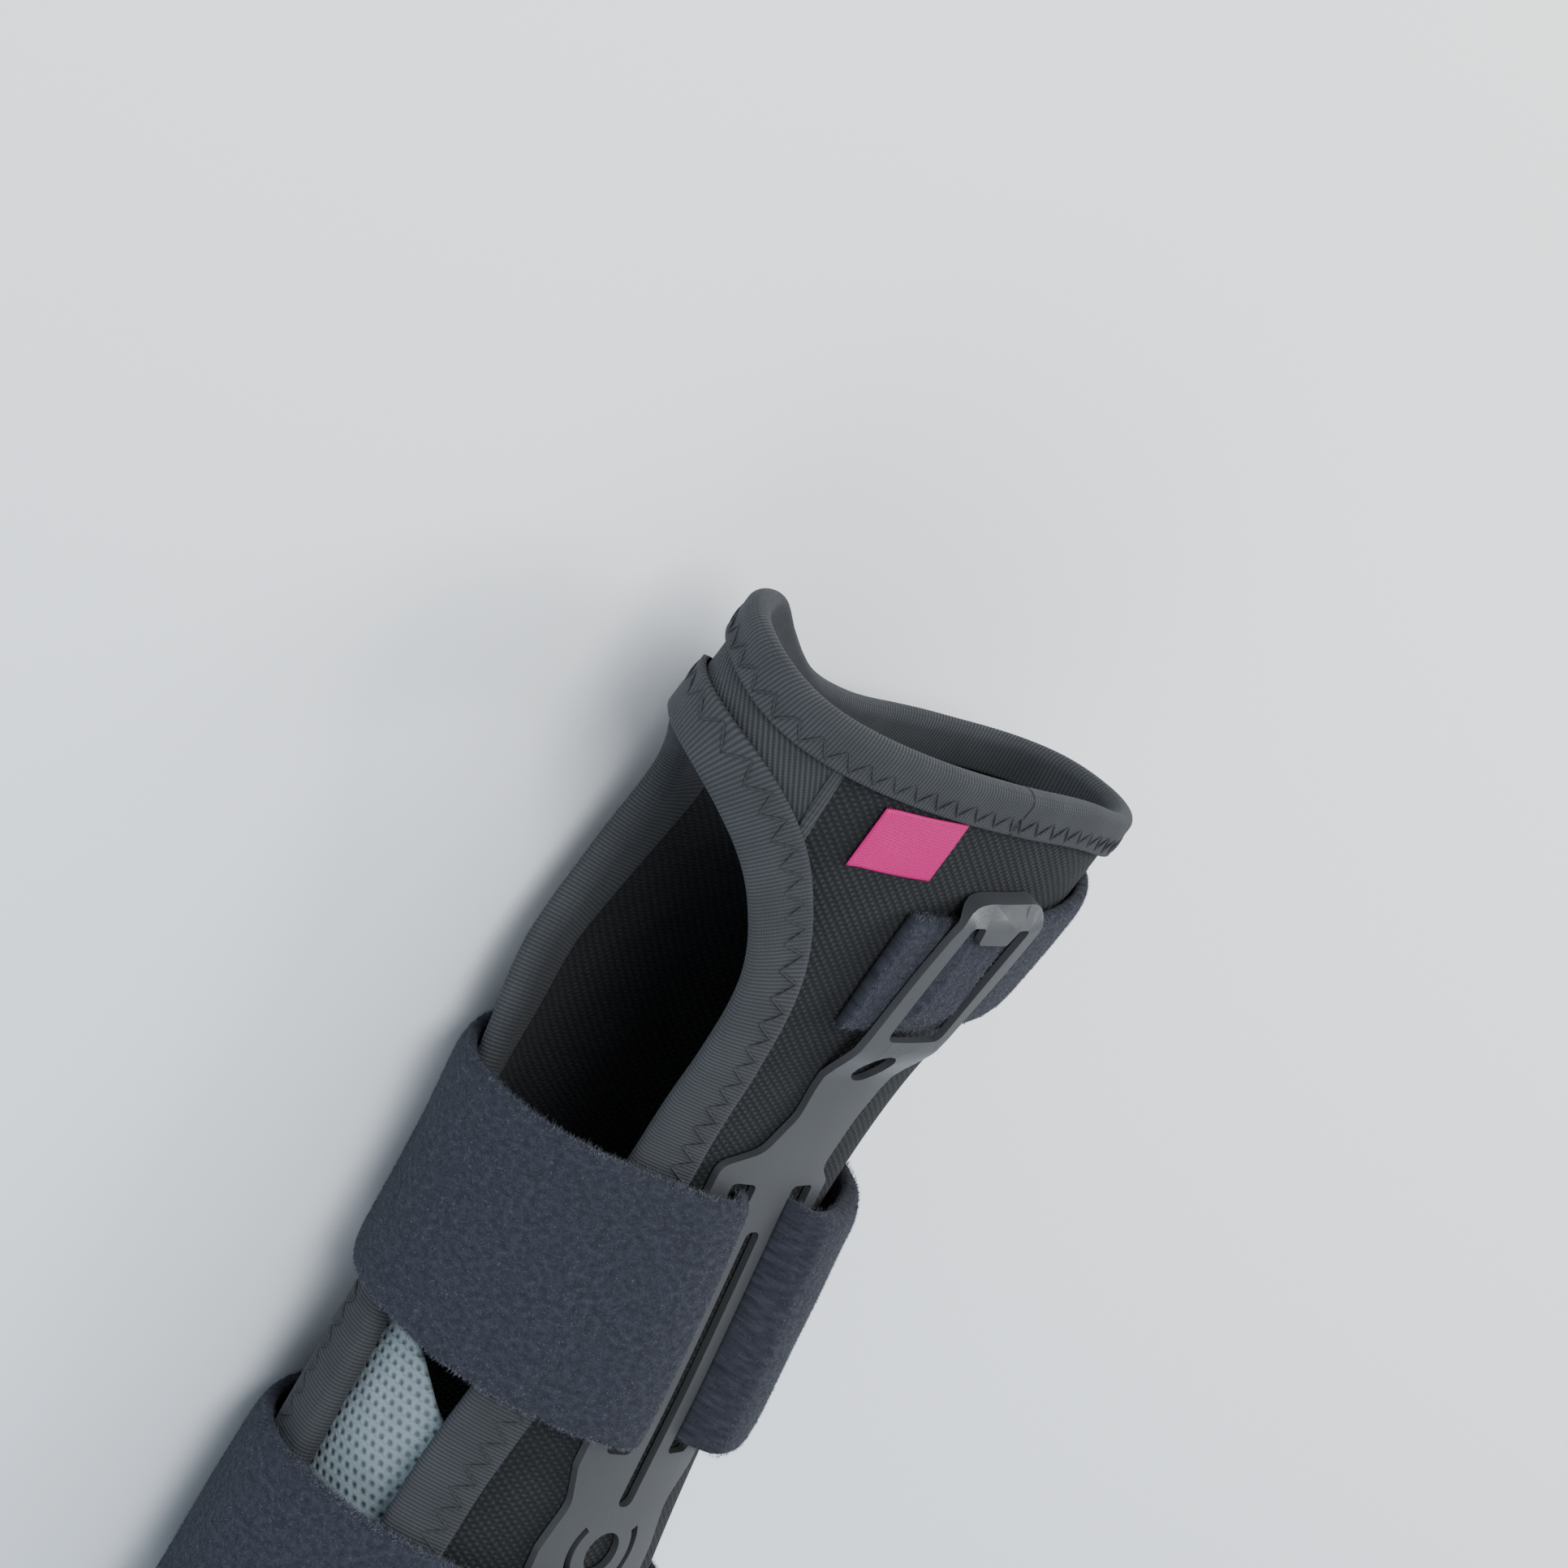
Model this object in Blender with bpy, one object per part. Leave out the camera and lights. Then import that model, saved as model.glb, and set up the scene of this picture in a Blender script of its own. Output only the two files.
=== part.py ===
"""A wrist brace for the right hand, closed as it is worn and lying palm down.

Every piece is drawn flat, as a tailor's pattern is, and then laid on the arm. A pattern point has
three coordinates: the station along the arm from the crease of the wrist, positive towards the
fingers; the turn round the arm from the middle of its back towards the thumb, as a share of the
girth; and the height over the arm. Lengths are in metres, +Z is up and +Y points to the fingers.
"""

import math
from functools import lru_cache

import bmesh
import bpy
import numpy as np

# Lengths along the arm, from the crease of the wrist
FOREARM_LENGTH = 0.118
HAND_LENGTH = 0.098

# The arm that the brace closes on, at the wrist
WRIST_WIDTH = 0.062
BACK_HEIGHT = 0.0225
PALM_HEIGHT = 0.0166
BACK_ROUNDNESS = 2.15
PALM_ROUNDNESS = 2.3
RESTING_FLAT = 0.0006

# The underside slants as the forearm thickens, and the brace lies on it. Past the wrist strap the
# palm takes over
SOLE_ANGLE = math.radians(2.6)
SOLE_END = 0.015
PALM_START = 0.031

# The hand bends back from the forearm between these two stations
HAND_LIFT = math.radians(11.0)
LIFT_START = 0.005
LIFT_END = 0.040

# Walls of the materials, and the clearance between layers
CLOTH = 0.0016
TAPE = 0.0009
PLUSH = 0.0026
LINER = 0.0014
LABEL = 0.0007
POLYMER = 0.0024
CLEARANCE = 0.0004
LINER_SLACK = 0.0006

# Widths of the tapes and the rounding of the forearm corners
RIM_TAPE_WIDTH = 0.0068
OPENING_TAPE_WIDTH = 0.0095
END_TAPE_WIDTH = 0.0085
END_CLOTH_DEPTH = 0.0050
CORNER_RADIUS = 0.012

# Straps: their width, where their middle crosses the back of the arm, how far it slants from
# there to the thumb side, and how high they loop over the rail on the other side
WRIST_STRAP_WIDTH = 0.0430
WRIST_STRAP_STATION = -0.0080
WRIST_STRAP_SLANT = 0.0026
FOREARM_STRAP_WIDTH = 0.0435
FOREARM_STRAP_STATION = -0.0785
FOREARM_STRAP_SLANT = 0.0065
LOOP_LOFT = 0.0016
HAND_STRAP_WIDTH = 0.0205
HAND_STRAP_ALONG = 0.59
HAND_STRAP_FREE_END = 0.0084
HAND_STRAP_END_TURN = -0.50
HAND_STRAP_CROWN = 0.0011
WINDOW_MIDDLE = -0.62

# The frame: half the width of its centre bar, its slots, its outer rails, its holes, and how its
# outline narrows at the pivot and widens at the straps
BAR_HALF_WIDTH = 0.0043
SLOT_WIDTH = 0.0051
RAIL_WIDTH = 0.0036
SLOT_END_ROOM = 0.0022
FRAME_MIDDLE = 0.0001
SCREW_HOLE_RADIUS = 0.0035
CENTRE_SLOT_WIDTH = 0.0030
ARC_SLOT_RADIUS = 0.0068
ARC_SLOT_WIDTH = 0.0013
ARC_SLOT_SPREAD = math.radians(37.0)
SEAM_INTO_SLOT = 0.0014

WAIST_SHARE = 0.84
WING = 0.0028
PIVOT_FROM_SLOT = 0.0057
PIVOT_WAIST = 0.008
FRAME_END_ROOM = 0.0046
SLOT_ROUNDING = 0.0012
SLOT_FROM_END = 0.004
CENTRE_SLOT_STOP = 0.009
PIVOT_ROOM = 0.008
RISE_START = 0.011
RISE_CLEAR = 0.0008
RISE_END = 0.0045

# The label
LABEL_LENGTH = 0.0172
LABEL_HEIGHT = 0.0105
LABEL_ALONG = 0.805
LABEL_START = 0.0090

# Fineness of the solids
RING_STEPS = 240
SHELL_COLUMNS = 30
SHELL_ROWS = 20
COLUMN_CROWDING = 0.3
CORNER_COLUMNS = 6
RIM_STEPS = 44
OPENING_STEPS = 60
END_STEPS = 28
CORNER_STEPS = 5
FAN_REACH = 0.80
STRAP_COLUMNS = 34
FOREARM_STEP_SHARE = 0.32

# The arm's sections. along: share of HAND_LENGTH, or of FOREARM_LENGTH where negative;
# width, back and palm: shares of the wrist's own sizes
ARM = (
    # along, width, back, palm
    (-1.00, 1.21, 1.27, 1.00),
    (-0.59, 1.10, 1.13, 1.00),
    (-0.38, 1.03, 1.04, 1.00),
    (-0.17, 0.97, 1.00, 1.00),
    (0.05, 0.99, 0.93, 1.00),
    (0.31, 1.18, 0.845, 1.03),
    (0.56, 1.40, 0.78, 1.03),
    (1.00, 1.47, 0.71, 0.93),
)

# The distal rim: turn round the hand, and how far the rim reaches as a share of HAND_LENGTH
RIM = (
    # turn, along
    (0.00, 0.925),
    (0.10, 0.945),
    (0.20, 0.968),
    (0.27, 1.000),
    (0.34, 0.985),
    (0.40, 0.905),
    (0.46, 0.825),
    (0.52, 0.785),
    (0.62, 0.775),
    (0.72, 0.800),
    (0.82, 0.845),
    (0.91, 0.900),
)

# The edge of the opening on the thumb side, from the forearm up the back, through the web of
# the thumb and down the palm. Its first and last turns hold at the forearm's corners
OPENING = (
    # along, turn
    (-0.90, 0.200),
    (-0.42, 0.190),
    (-0.22, 0.178),
    (0.00, 0.157),
    (0.20, 0.142),
    (0.38, 0.130),
    (0.52, 0.134),
    (0.64, 0.163),
    (0.725, 0.202),
    (0.775, 0.250),
    (0.765, 0.310),
    (0.69, 0.362),
    (0.59, 0.384),
    (0.44, 0.368),
    (0.28, 0.334),
    (0.08, 0.302),
    (-0.20, 0.280),
    (-0.42, 0.272),
    (-0.90, 0.266),
)

# The seams between the web panel and the shell: station at the opening, turn at the rim
BACK_SEAM = (0.655, 0.166)
PALM_SEAM = (0.600, 0.420)

# The liner's distal edge
LINER_EDGE = (
    # turn, along
    (0.130, -0.36),
    (0.193, -0.31),
    (0.244, -0.25),
    (0.269, -0.235),
    (0.330, -0.225),
)
LINER_START = -0.955

# How a strap lies: turn, the share of its slant that shifts its middle, and its width as a share
STRAP_LIE = (
    # turn, slant, width
    (0.00, 0.00, 1.00),
    (0.12, 0.50, 0.98),
    (0.28, 1.00, 0.92),
    (0.50, 0.80, 0.94),
    (0.72, -0.50, 0.90),
    (0.88, -0.50, 0.93),
    (1.00, 0.00, 1.00),
)

# The frame's outline beyond the wrist strap, up the thumb side and down the other side. along
# is a share as above, and across is in half widths of the frame
HAND_PLATE = (
    # along, across, rounding in millimetres
    (0.225, 0.48, 5.0),
    (0.300, 0.24, 7.0),
    (0.390, 0.28, 6.0),
    (0.455, 0.30, 8.0),
    (0.610, 0.19, 20.0),
    (0.742, 0.05, 8.0),
    (0.742, -1.62, 8.0),
    (0.610, -1.46, 20.0),
    (0.455, -1.18, 8.0),
    (0.300, -0.86, 8.0),
    (0.195, -0.74, 3.0),
)

# The window over the hand strap, with the tab that stands into it
WINDOW = (
    # along, across, rounding in millimetres
    (0.707, -0.14, 1.2),
    (0.707, -0.38, 0.8),
    (0.676, -0.44, 0.8),
    (0.674, -1.02, 0.8),
    (0.703, -1.08, 0.8),
    (0.703, -1.32, 1.2),
    (0.486, -1.05, 2.0),
    (0.486, 0.00, 2.0),
)
SCREW_HOLE = (0.418, -0.36)


def station(share):
    return share * (HAND_LENGTH if share > 0 else FOREARM_LENGTH)


def smooth(xs, ys, x, period=None):
    """A smooth curve through the table's points, read at x. A period makes it go round."""
    xs = np.asarray(xs, float)
    ys = np.asarray(ys, float)
    if period:
        x = x % period
        xs = np.concatenate([xs[-2:] - period, xs, xs[:2] + period])
        ys = np.concatenate([ys[-2:], ys, ys[:2]])
    slopes = np.gradient(ys, xs)
    x = min(max(x, xs[0]), xs[-1])
    i = min(max(int(np.searchsorted(xs, x)) - 1, 0), len(xs) - 2)
    step = xs[i + 1] - xs[i]
    t = (x - xs[i]) / step
    return float(
        (1 + 2 * t) * (1 - t) ** 2 * ys[i]
        + t * (1 - t) ** 2 * step * slopes[i]
        + t * t * (3 - 2 * t) * ys[i + 1]
        + t * t * (t - 1) * step * slopes[i + 1]
    )


def ramp(x, low, high):
    t = min(max((x - low) / (high - low), 0.0), 1.0)
    return t * t * (3 - 2 * t)


@lru_cache(maxsize=None)
def ring(s, height):
    """The arm's outline at a station, from the middle of the back towards the thumb."""
    stations = [station(row[0]) for row in ARM]
    half = WRIST_WIDTH / 2 * smooth(stations, [row[1] for row in ARM], s)
    back = BACK_HEIGHT * smooth(stations, [row[2] for row in ARM], s)
    palm = PALM_HEIGHT * smooth(stations, [row[3] for row in ARM], s)
    sole = PALM_HEIGHT - s * math.tan(SOLE_ANGLE)
    palm = sole + (palm - sole) * ramp(s, SOLE_END, PALM_START)
    angle = np.linspace(0, 2 * math.pi, RING_STEPS + 1)
    side = -np.sin(angle)
    up = np.cos(angle)
    power = np.where(up >= 0, 2 / BACK_ROUNDNESS, 2 / PALM_ROUNDNESS)
    reach = np.where(up >= 0, back, palm) + height
    x = (half + height) * np.sign(side) * np.abs(side) ** power
    z = reach * np.sign(up) * np.abs(up) ** power
    z = np.maximum(z, RESTING_FLAT - palm - height)
    run = np.concatenate([[0], np.cumsum(np.hypot(np.diff(x), np.diff(z)))])
    return x, z, run


def girth(s, height=0.0):
    return float(ring(round(s, 6), round(height, 6))[2][-1])


def on_arm(s, turn, height):
    """The place of a pattern point on the arm."""
    x, z, run = ring(round(s, 6), round(height, 6))
    where = (turn % 1.0) * run[-1]
    across = float(np.interp(where, run, x))
    up = float(np.interp(where, run, z))
    rate = HAND_LIFT / (LIFT_END - LIFT_START)
    bent = min(max(s - LIFT_START, 0.0), LIFT_END - LIFT_START)
    lean = bent * rate
    beyond = max(s - LIFT_END, 0.0)
    y = min(s, LIFT_START) + math.sin(lean) / rate + beyond * math.cos(lean)
    rise = (1 - math.cos(lean)) / rate + beyond * math.sin(lean)
    return (across, y - up * math.sin(lean), rise + up * math.cos(lean))


def rim_station(turn):
    return HAND_LENGTH * smooth([row[0] for row in RIM], [row[1] for row in RIM], turn, 1.0)


def evenly(points, steps):
    """A smooth line through pattern points, cut into even steps, longer along the forearm."""
    knots = list(range(len(points)))
    fine = np.linspace(0, knots[-1], 24 * len(points))
    s = np.array([smooth(knots, [p[0] for p in points], k) for k in fine])
    turn = np.array([smooth(knots, [p[1] for p in points], k) for k in fine])
    size = np.array([girth(value) for value in s])
    steps_per_length = np.where(s[1:] < 0, FOREARM_STEP_SHARE, 1.0)
    run = np.hypot(np.diff(s), np.diff(turn) * size[1:]) * steps_per_length
    run = np.concatenate([[0], np.cumsum(run)])
    even = np.linspace(0, run[-1], steps + 1)
    return [(float(np.interp(e, run, s)), float(np.interp(e, run, turn))) for e in even]


def inwards(line, closed, side):
    """For each point of a line, the unit direction into the cloth, along and round the arm."""
    found = []
    last = len(line) - 1
    for i, (s, _) in enumerate(line):
        before = line[i - 1] if closed or i else line[i]
        after = line[(i + 1) % len(line)] if closed or i < last else line[i]
        along = after[0] - before[0]
        turned = after[1] - before[1]
        round_arm = (turned - round(turned)) * girth(s)
        length = math.hypot(along, round_arm)
        found.append((-side * round_arm / length, side * along / length))
    return found


def set_in(line, closed, side, depth):
    """The line moved into the cloth by a depth."""
    into = inwards(line, closed, side)
    return [(s + depth * a, t + depth * b / girth(s)) for (s, t), (a, b) in zip(line, into)]


def material(name, colour, roughness, metallic=0.0):
    made = bpy.data.materials.new(name)
    made.use_nodes = True
    shader = made.node_tree.nodes["Principled BSDF"]
    shader.inputs["Base Color"].default_value = (*colour, 1.0)
    shader.inputs["Roughness"].default_value = roughness
    shader.inputs["Metallic"].default_value = metallic
    return made


def add(name, shape, finish, rounded=True):
    """Makes the closed shape an object that is carried by the brace's origin."""
    bmesh.ops.remove_doubles(shape, verts=shape.verts, dist=1e-6)
    bmesh.ops.recalc_face_normals(shape, faces=shape.faces)
    mesh = bpy.data.meshes.new(name)
    shape.to_mesh(mesh)
    shape.free()
    mesh.materials.append(finish)
    if rounded:
        mesh.shade_smooth()
        mesh.set_sharp_from_angle(angle=math.radians(40))
    made = bpy.data.objects.new(name, mesh)
    bpy.context.scene.collection.objects.link(made)
    made.parent = bpy.data.objects["brace"]
    return made


def wall(name, columns, rows, pattern, finish):
    """A wall from a flat grid that is thickened and laid on the arm. pattern takes the place on
    the grid, each way from 0 to 1, and whether the point is on the outside, and gives station,
    turn and height."""
    shape = bmesh.new()
    bmesh.ops.create_grid(shape, x_segments=columns, y_segments=rows, size=0.5)
    bmesh.ops.translate(shape, verts=shape.verts, vec=(0.5, 0.5, 0.0))
    grown = bmesh.ops.extrude_face_region(shape, geom=shape.faces[:])
    top = [item for item in grown["geom"] if isinstance(item, bmesh.types.BMVert)]
    bmesh.ops.translate(shape, verts=top, vec=(0.0, 0.0, 1.0))
    for vertex in shape.verts:
        u, v, outside = vertex.co
        vertex.co = on_arm(*pattern(min(max(u, 0), 1), min(max(v, 0), 1), outside > 0.5))
    return add(name, shape, finish)


def tape(name, line, closed, side, width, finish):
    """A folded tape that holds an edge: a U section carried along the line of the edge."""
    outer = 2 * TAPE + 2 * CLEARANCE + CLOTH
    nose = 0.4 * outer
    middle = width / 2
    section = (
        (width, outer),
        (middle, outer),
        (nose, outer),
        (0.15 * nose, 0.72 * outer),
        (0.15 * nose, 0.28 * outer),
        (nose, 0.0),
        (middle, 0.0),
        (width, 0.0),
        (width, TAPE),
        (middle, TAPE),
        (TAPE, TAPE),
        (TAPE, outer - TAPE),
        (middle, outer - TAPE),
        (width, outer - TAPE),
    )
    into = inwards(line, closed, side)
    count = len(line) if closed else len(line) - 1
    shape = bmesh.new()
    bmesh.ops.create_grid(shape, x_segments=len(section), y_segments=count, size=0.5)
    for vertex in shape.verts:
        i = round((vertex.co.x + 0.5) * len(section)) % len(section)
        j = round((vertex.co.y + 0.5) * count) % len(line)
        depth, height = section[i]
        s, turn = line[j]
        a, b = into[j]
        vertex.co = on_arm(s + depth * a, turn + depth * b / girth(s), height)
    bmesh.ops.remove_doubles(shape, verts=shape.verts, dist=1e-6)
    if not closed:
        bmesh.ops.holes_fill(shape, edges=[e for e in shape.edges if e.is_boundary], sides=0)
    return add(name, shape, finish)


def fillet(corners, arc_steps=2):
    """The outline through the corners, each rounded by an arc of its own radius."""
    line = []
    for i, (s, w, radius) in enumerate(corners):
        corner = np.array((s, w))
        back = np.array(corners[i - 1][:2]) - corner
        ahead = np.array(corners[(i + 1) % len(corners)][:2]) - corner
        room_back = np.linalg.norm(back)
        room_ahead = np.linalg.norm(ahead)
        back /= room_back
        ahead /= room_ahead
        half = math.acos(min(max(float(back @ ahead), -1.0), 1.0)) / 2
        reach = min(radius / math.tan(half), 0.48 * room_back, 0.48 * room_ahead)
        start = corner + back * reach
        end = corner + ahead * reach
        for k in range(arc_steps + 1):
            t = k / arc_steps
            line.append((1 - t) ** 2 * start + 2 * t * (1 - t) * corner + t * t * end)
    return line


def circle(s, w, radius, steps=12):
    turns = [2 * math.pi * k / steps for k in range(steps)]
    return [np.array((s + radius * math.cos(t), w + radius * math.sin(t))) for t in turns]


def arc_slot(s, w, side, steps=4):
    """A slot that follows an arc beside the pivot, on one side of it."""
    outer = ARC_SLOT_RADIUS + ARC_SLOT_WIDTH / 2
    inner = ARC_SLOT_RADIUS - ARC_SLOT_WIDTH / 2
    angles = [ARC_SLOT_SPREAD * (2 * k / steps - 1) for k in range(steps + 1)]
    far = [(s + outer * math.sin(a), w + side * outer * math.cos(a)) for a in angles]
    near = [(s + inner * math.sin(a), w + side * inner * math.cos(a)) for a in reversed(angles)]
    return [np.array(point) for point in far + near]


def slot(low, high, left, right, radius):
    corners = ((low, left, radius), (high, left, radius), (high, right, radius), (low, right, radius))
    return fillet(corners, 2)


def scaled(table, half_width):
    return [(station(a), FRAME_MIDDLE + w * half_width, r * 0.001) for a, w, r in table]


def frame_underside(s):
    """The frame lies on the cloth, and rises over the hand strap."""
    on_cloth = TAPE + CLEARANCE + CLOTH + CLEARANCE
    low = hand_strap_s - HAND_STRAP_WIDTH / 2
    high = hand_strap_s + HAND_STRAP_WIDTH / 2
    rise = ramp(s, low - RISE_START, low - RISE_CLEAR)
    rise *= 1 - ramp(s, high + RISE_CLEAR, high + RISE_END)
    return on_cloth + (PLUSH + CLEARANCE) * rise


def strap_lie(turn, width, middle, slant):
    turns = [row[0] for row in STRAP_LIE]
    shift = smooth(turns, [row[1] for row in STRAP_LIE], turn % 1.0)
    spread = smooth(turns, [row[2] for row in STRAP_LIE], turn % 1.0)
    return middle + shift * slant, spread * width


def clear_scene():
    for item in list(bpy.data.objects):
        bpy.data.objects.remove(item, do_unlink=True)


clear_scene()
origin = bpy.data.objects.new("brace", None)
bpy.context.scene.collection.objects.link(origin)

woven = material("woven_cloth", (0.032, 0.036, 0.040), 0.85)
knit = material("knit_cloth", (0.070, 0.077, 0.086), 0.85)
plush = material("plush", (0.045, 0.051, 0.070), 0.95)
liner_knit = material("liner_knit", (0.300, 0.370, 0.410), 0.85)
polymer = material("polymer", (0.115, 0.123, 0.133), 0.38)
satin = material("satin_label", (0.720, 0.023, 0.260), 0.45)

cloth_inside = TAPE + CLEARANCE
cloth_outside = cloth_inside + CLOTH
edge_inset = TAPE + 2 * CLEARANCE
hand_strap_s = station(HAND_STRAP_ALONG)

# The lines that the cloth is cut and bound along
proximal = -FOREARM_LENGTH
tape_join = proximal + CORNER_RADIUS + CLEARANCE
opening_points = [(station(a), t) for a, t in OPENING]
opening_points[0] = (tape_join + CLEARANCE, OPENING[0][1])
opening_points[-1] = (tape_join + CLEARANCE, OPENING[-1][1])
opening_line = evenly(opening_points, OPENING_STEPS)
opening_cut = set_in(opening_line, False, -1, edge_inset)
top_of_opening = max(range(len(opening_cut)), key=lambda k: opening_cut[k][0])
back_cut = opening_cut[: top_of_opening + 1]
palm_cut = opening_cut[top_of_opening:][::-1]


def cut_turn(cut, s):
    return float(np.interp(s, [p[0] for p in cut], [p[1] for p in cut]))


def corner_turn(s):
    """How far the rounded corner of the forearm end draws the cloth's edge in."""
    radius = CORNER_RADIUS - edge_inset
    left = proximal + CORNER_RADIUS - s
    if left <= 0:
        return 0.0
    return (radius - math.sqrt(max(radius**2 - left**2, 0.0))) / girth(s)


back_seam_s = station(BACK_SEAM[0])
palm_seam_s = station(PALM_SEAM[0])
back_seam = (back_seam_s, cut_turn(back_cut, back_seam_s))
palm_seam = (palm_seam_s, cut_turn(palm_cut, palm_seam_s))
back_seam_rim = (rim_station(BACK_SEAM[1]) - edge_inset, BACK_SEAM[1])
palm_seam_rim = (rim_station(PALM_SEAM[1]) - edge_inset, PALM_SEAM[1])


def seam_turn(low, high, s):
    return float(np.interp(s, (low[0], high[0]), (low[1], high[1])))


def back_edge(s):
    if s > back_seam_s:
        return seam_turn(back_seam, back_seam_rim, s)
    return cut_turn(back_cut, s)


def palm_edge(s):
    if s > palm_seam_s:
        return seam_turn(palm_seam, palm_seam_rim, s)
    return cut_turn(palm_cut, s)


def shell_pattern(u, v, outside):
    """u goes from the back edge round the little-finger side to the palm edge, with columns
    closer together on the two sides of the arm, where it is most round. Towards the fingers the
    rows fan out to meet the slanting rim."""
    u -= COLUMN_CROWDING / (4 * math.pi) * math.sin(4 * math.pi * u)
    fan_start = min(back_seam_s, palm_seam_s)
    low = proximal + END_CLOTH_DEPTH
    high = FAN_REACH * HAND_LENGTH
    s = low + v * (high - low)
    fan = max(s - fan_start, 0.0) / (high - fan_start)
    left_s = s if s < fan_start else fan_start + fan * (back_seam_rim[0] - fan_start)
    right_s = s if s < fan_start else fan_start + fan * (palm_seam_rim[0] - fan_start)
    seam_gap = CLEARANCE / 2 / girth(s)
    left = back_edge(left_s) - seam_gap
    right = palm_edge(right_s) - 1 + seam_gap
    turn = left + u * (right - left)
    draw = corner_turn(s)
    turn -= draw * max(1 - u * SHELL_COLUMNS / CORNER_COLUMNS, 0.0)
    turn += draw * max(1 - (1 - u) * SHELL_COLUMNS / CORNER_COLUMNS, 0.0)
    if fan:
        s = fan_start + fan * (rim_station(turn) - edge_inset - fan_start)
    return s, turn, cloth_outside if outside else cloth_inside


wall("shell_panel", SHELL_COLUMNS, SHELL_ROWS, shell_pattern, woven)

# The web panel lies between the two seams, from the opening up to the rim
web_line = [back_seam]
web_line += [p for k, p in enumerate(opening_cut) if k <= top_of_opening and p[0] > back_seam_s]
web_line += [p for k, p in enumerate(opening_cut) if k > top_of_opening and p[0] > palm_seam_s]
web_line.append(palm_seam)


def web_pattern(u, v, outside):
    gap = CLEARANCE / 2 / girth(back_seam_s)
    ends = np.linspace(0, 1, len(web_line))
    s = float(np.interp(u, ends, [p[0] for p in web_line]))
    turn = float(np.interp(u, ends, [p[1] for p in web_line]))
    rim_turn = BACK_SEAM[1] + u * (PALM_SEAM[1] - BACK_SEAM[1])
    turn += v * (rim_turn - turn) + gap * (1 - 2 * u)
    s += v * (rim_station(rim_turn) - edge_inset - s)
    return s, turn, cloth_outside if outside else cloth_inside


wall("web_panel", 20, 5, web_pattern, knit)

# The tapes that bind the cloth's edges
rim_line = [(rim_station(k / RIM_STEPS), k / RIM_STEPS) for k in range(RIM_STEPS)]
tape("rim_binding", rim_line, True, 1, RIM_TAPE_WIDTH, knit)

start_turn = opening_line[0][1]
end_turn = opening_line[-1][1]
tape("opening_binding", opening_line, False, -1, OPENING_TAPE_WIDTH, knit)

# The end tape runs from one edge of the opening to the other, round both corners
bottom_girth = girth(proximal)
corner = CORNER_RADIUS / bottom_girth
end_line = [(tape_join, start_turn)]
corner_angles = [math.pi / 2 * k / CORNER_STEPS for k in range(CORNER_STEPS + 1)]
for angle in corner_angles:
    end_line.append(
        (
            proximal + CORNER_RADIUS * (1 - math.sin(angle)),
            start_turn - corner * (1 - math.cos(angle)),
        )
    )
low_turn = start_turn - corner
high_turn = end_turn + corner - 1
for k in range(1, END_STEPS):
    end_line.append((proximal, low_turn + (high_turn - low_turn) * k / END_STEPS))
for angle in reversed(corner_angles):
    end_line.append(
        (
            proximal + CORNER_RADIUS * (1 - math.sin(angle)),
            end_turn - 1 + corner * (1 - math.cos(angle)),
        )
    )
end_line.append((tape_join, end_turn - 1))
tape("proximal_binding", end_line, False, 1, END_TAPE_WIDTH, knit)


def liner_pattern(u, v, outside):
    low = LINER_EDGE[0][0]
    high = LINER_EDGE[-1][0]
    turn = low + u * (high - low)
    edge = station(smooth([r[0] for r in LINER_EDGE], [r[1] for r in LINER_EDGE], turn))
    s = station(LINER_START) + v * (edge - station(LINER_START))
    return s, turn, -LINER_SLACK if outside else -LINER_SLACK - LINER


wall("liner_tongue", 10, 8, liner_pattern, liner_knit)


def label_pattern(u, v, outside):
    s = station(LABEL_ALONG) + (v - 0.5) * LABEL_HEIGHT
    height = cloth_outside + CLEARANCE + (LABEL if outside else 0.0)
    return s, (LABEL_START + u * LABEL_LENGTH) / girth(s, height), height


wall("label", 5, 3, label_pattern, satin)

# The frame is cut flat, with its holes, then divided so that it can follow the arm
frame_half = BAR_HALF_WIDTH + SLOT_WIDTH + RAIL_WIDTH
wrist_low = WRIST_STRAP_STATION - WRIST_STRAP_WIDTH / 2 - SLOT_END_ROOM
wrist_high = WRIST_STRAP_STATION + WRIST_STRAP_WIDTH / 2 + SLOT_END_ROOM
fore_low = FOREARM_STRAP_STATION - FOREARM_STRAP_WIDTH / 2 - SLOT_END_ROOM
fore_high = FOREARM_STRAP_STATION + FOREARM_STRAP_WIDTH / 2 + SLOT_END_ROOM
pivot_s = fore_high + PIVOT_FROM_SLOT
frame_end = fore_low - FRAME_END_ROOM
waist = WAIST_SHARE * frame_half
left = FRAME_MIDDLE + frame_half
right = FRAME_MIDDLE - frame_half
outline = [
    (frame_end, left, 0.005),
    (fore_high + 2 * WING, left, 0.003),
    (pivot_s + PIVOT_WAIST, FRAME_MIDDLE + waist, 0.006),
    (wrist_low - WING, left, 0.004),
    (wrist_high + WING, left, 0.003),
]
outline += scaled(HAND_PLATE, frame_half)
outline += [
    (wrist_high + CLEARANCE, right, 0.002),
    (wrist_low - WING, right, 0.004),
    (pivot_s + PIVOT_WAIST, FRAME_MIDDLE - waist, 0.006),
    (fore_high + 2 * WING, right, 0.003),
    (frame_end, right, 0.005),
]
slot_in = BAR_HALF_WIDTH
slot_out = BAR_HALF_WIDTH + SLOT_WIDTH
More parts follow.
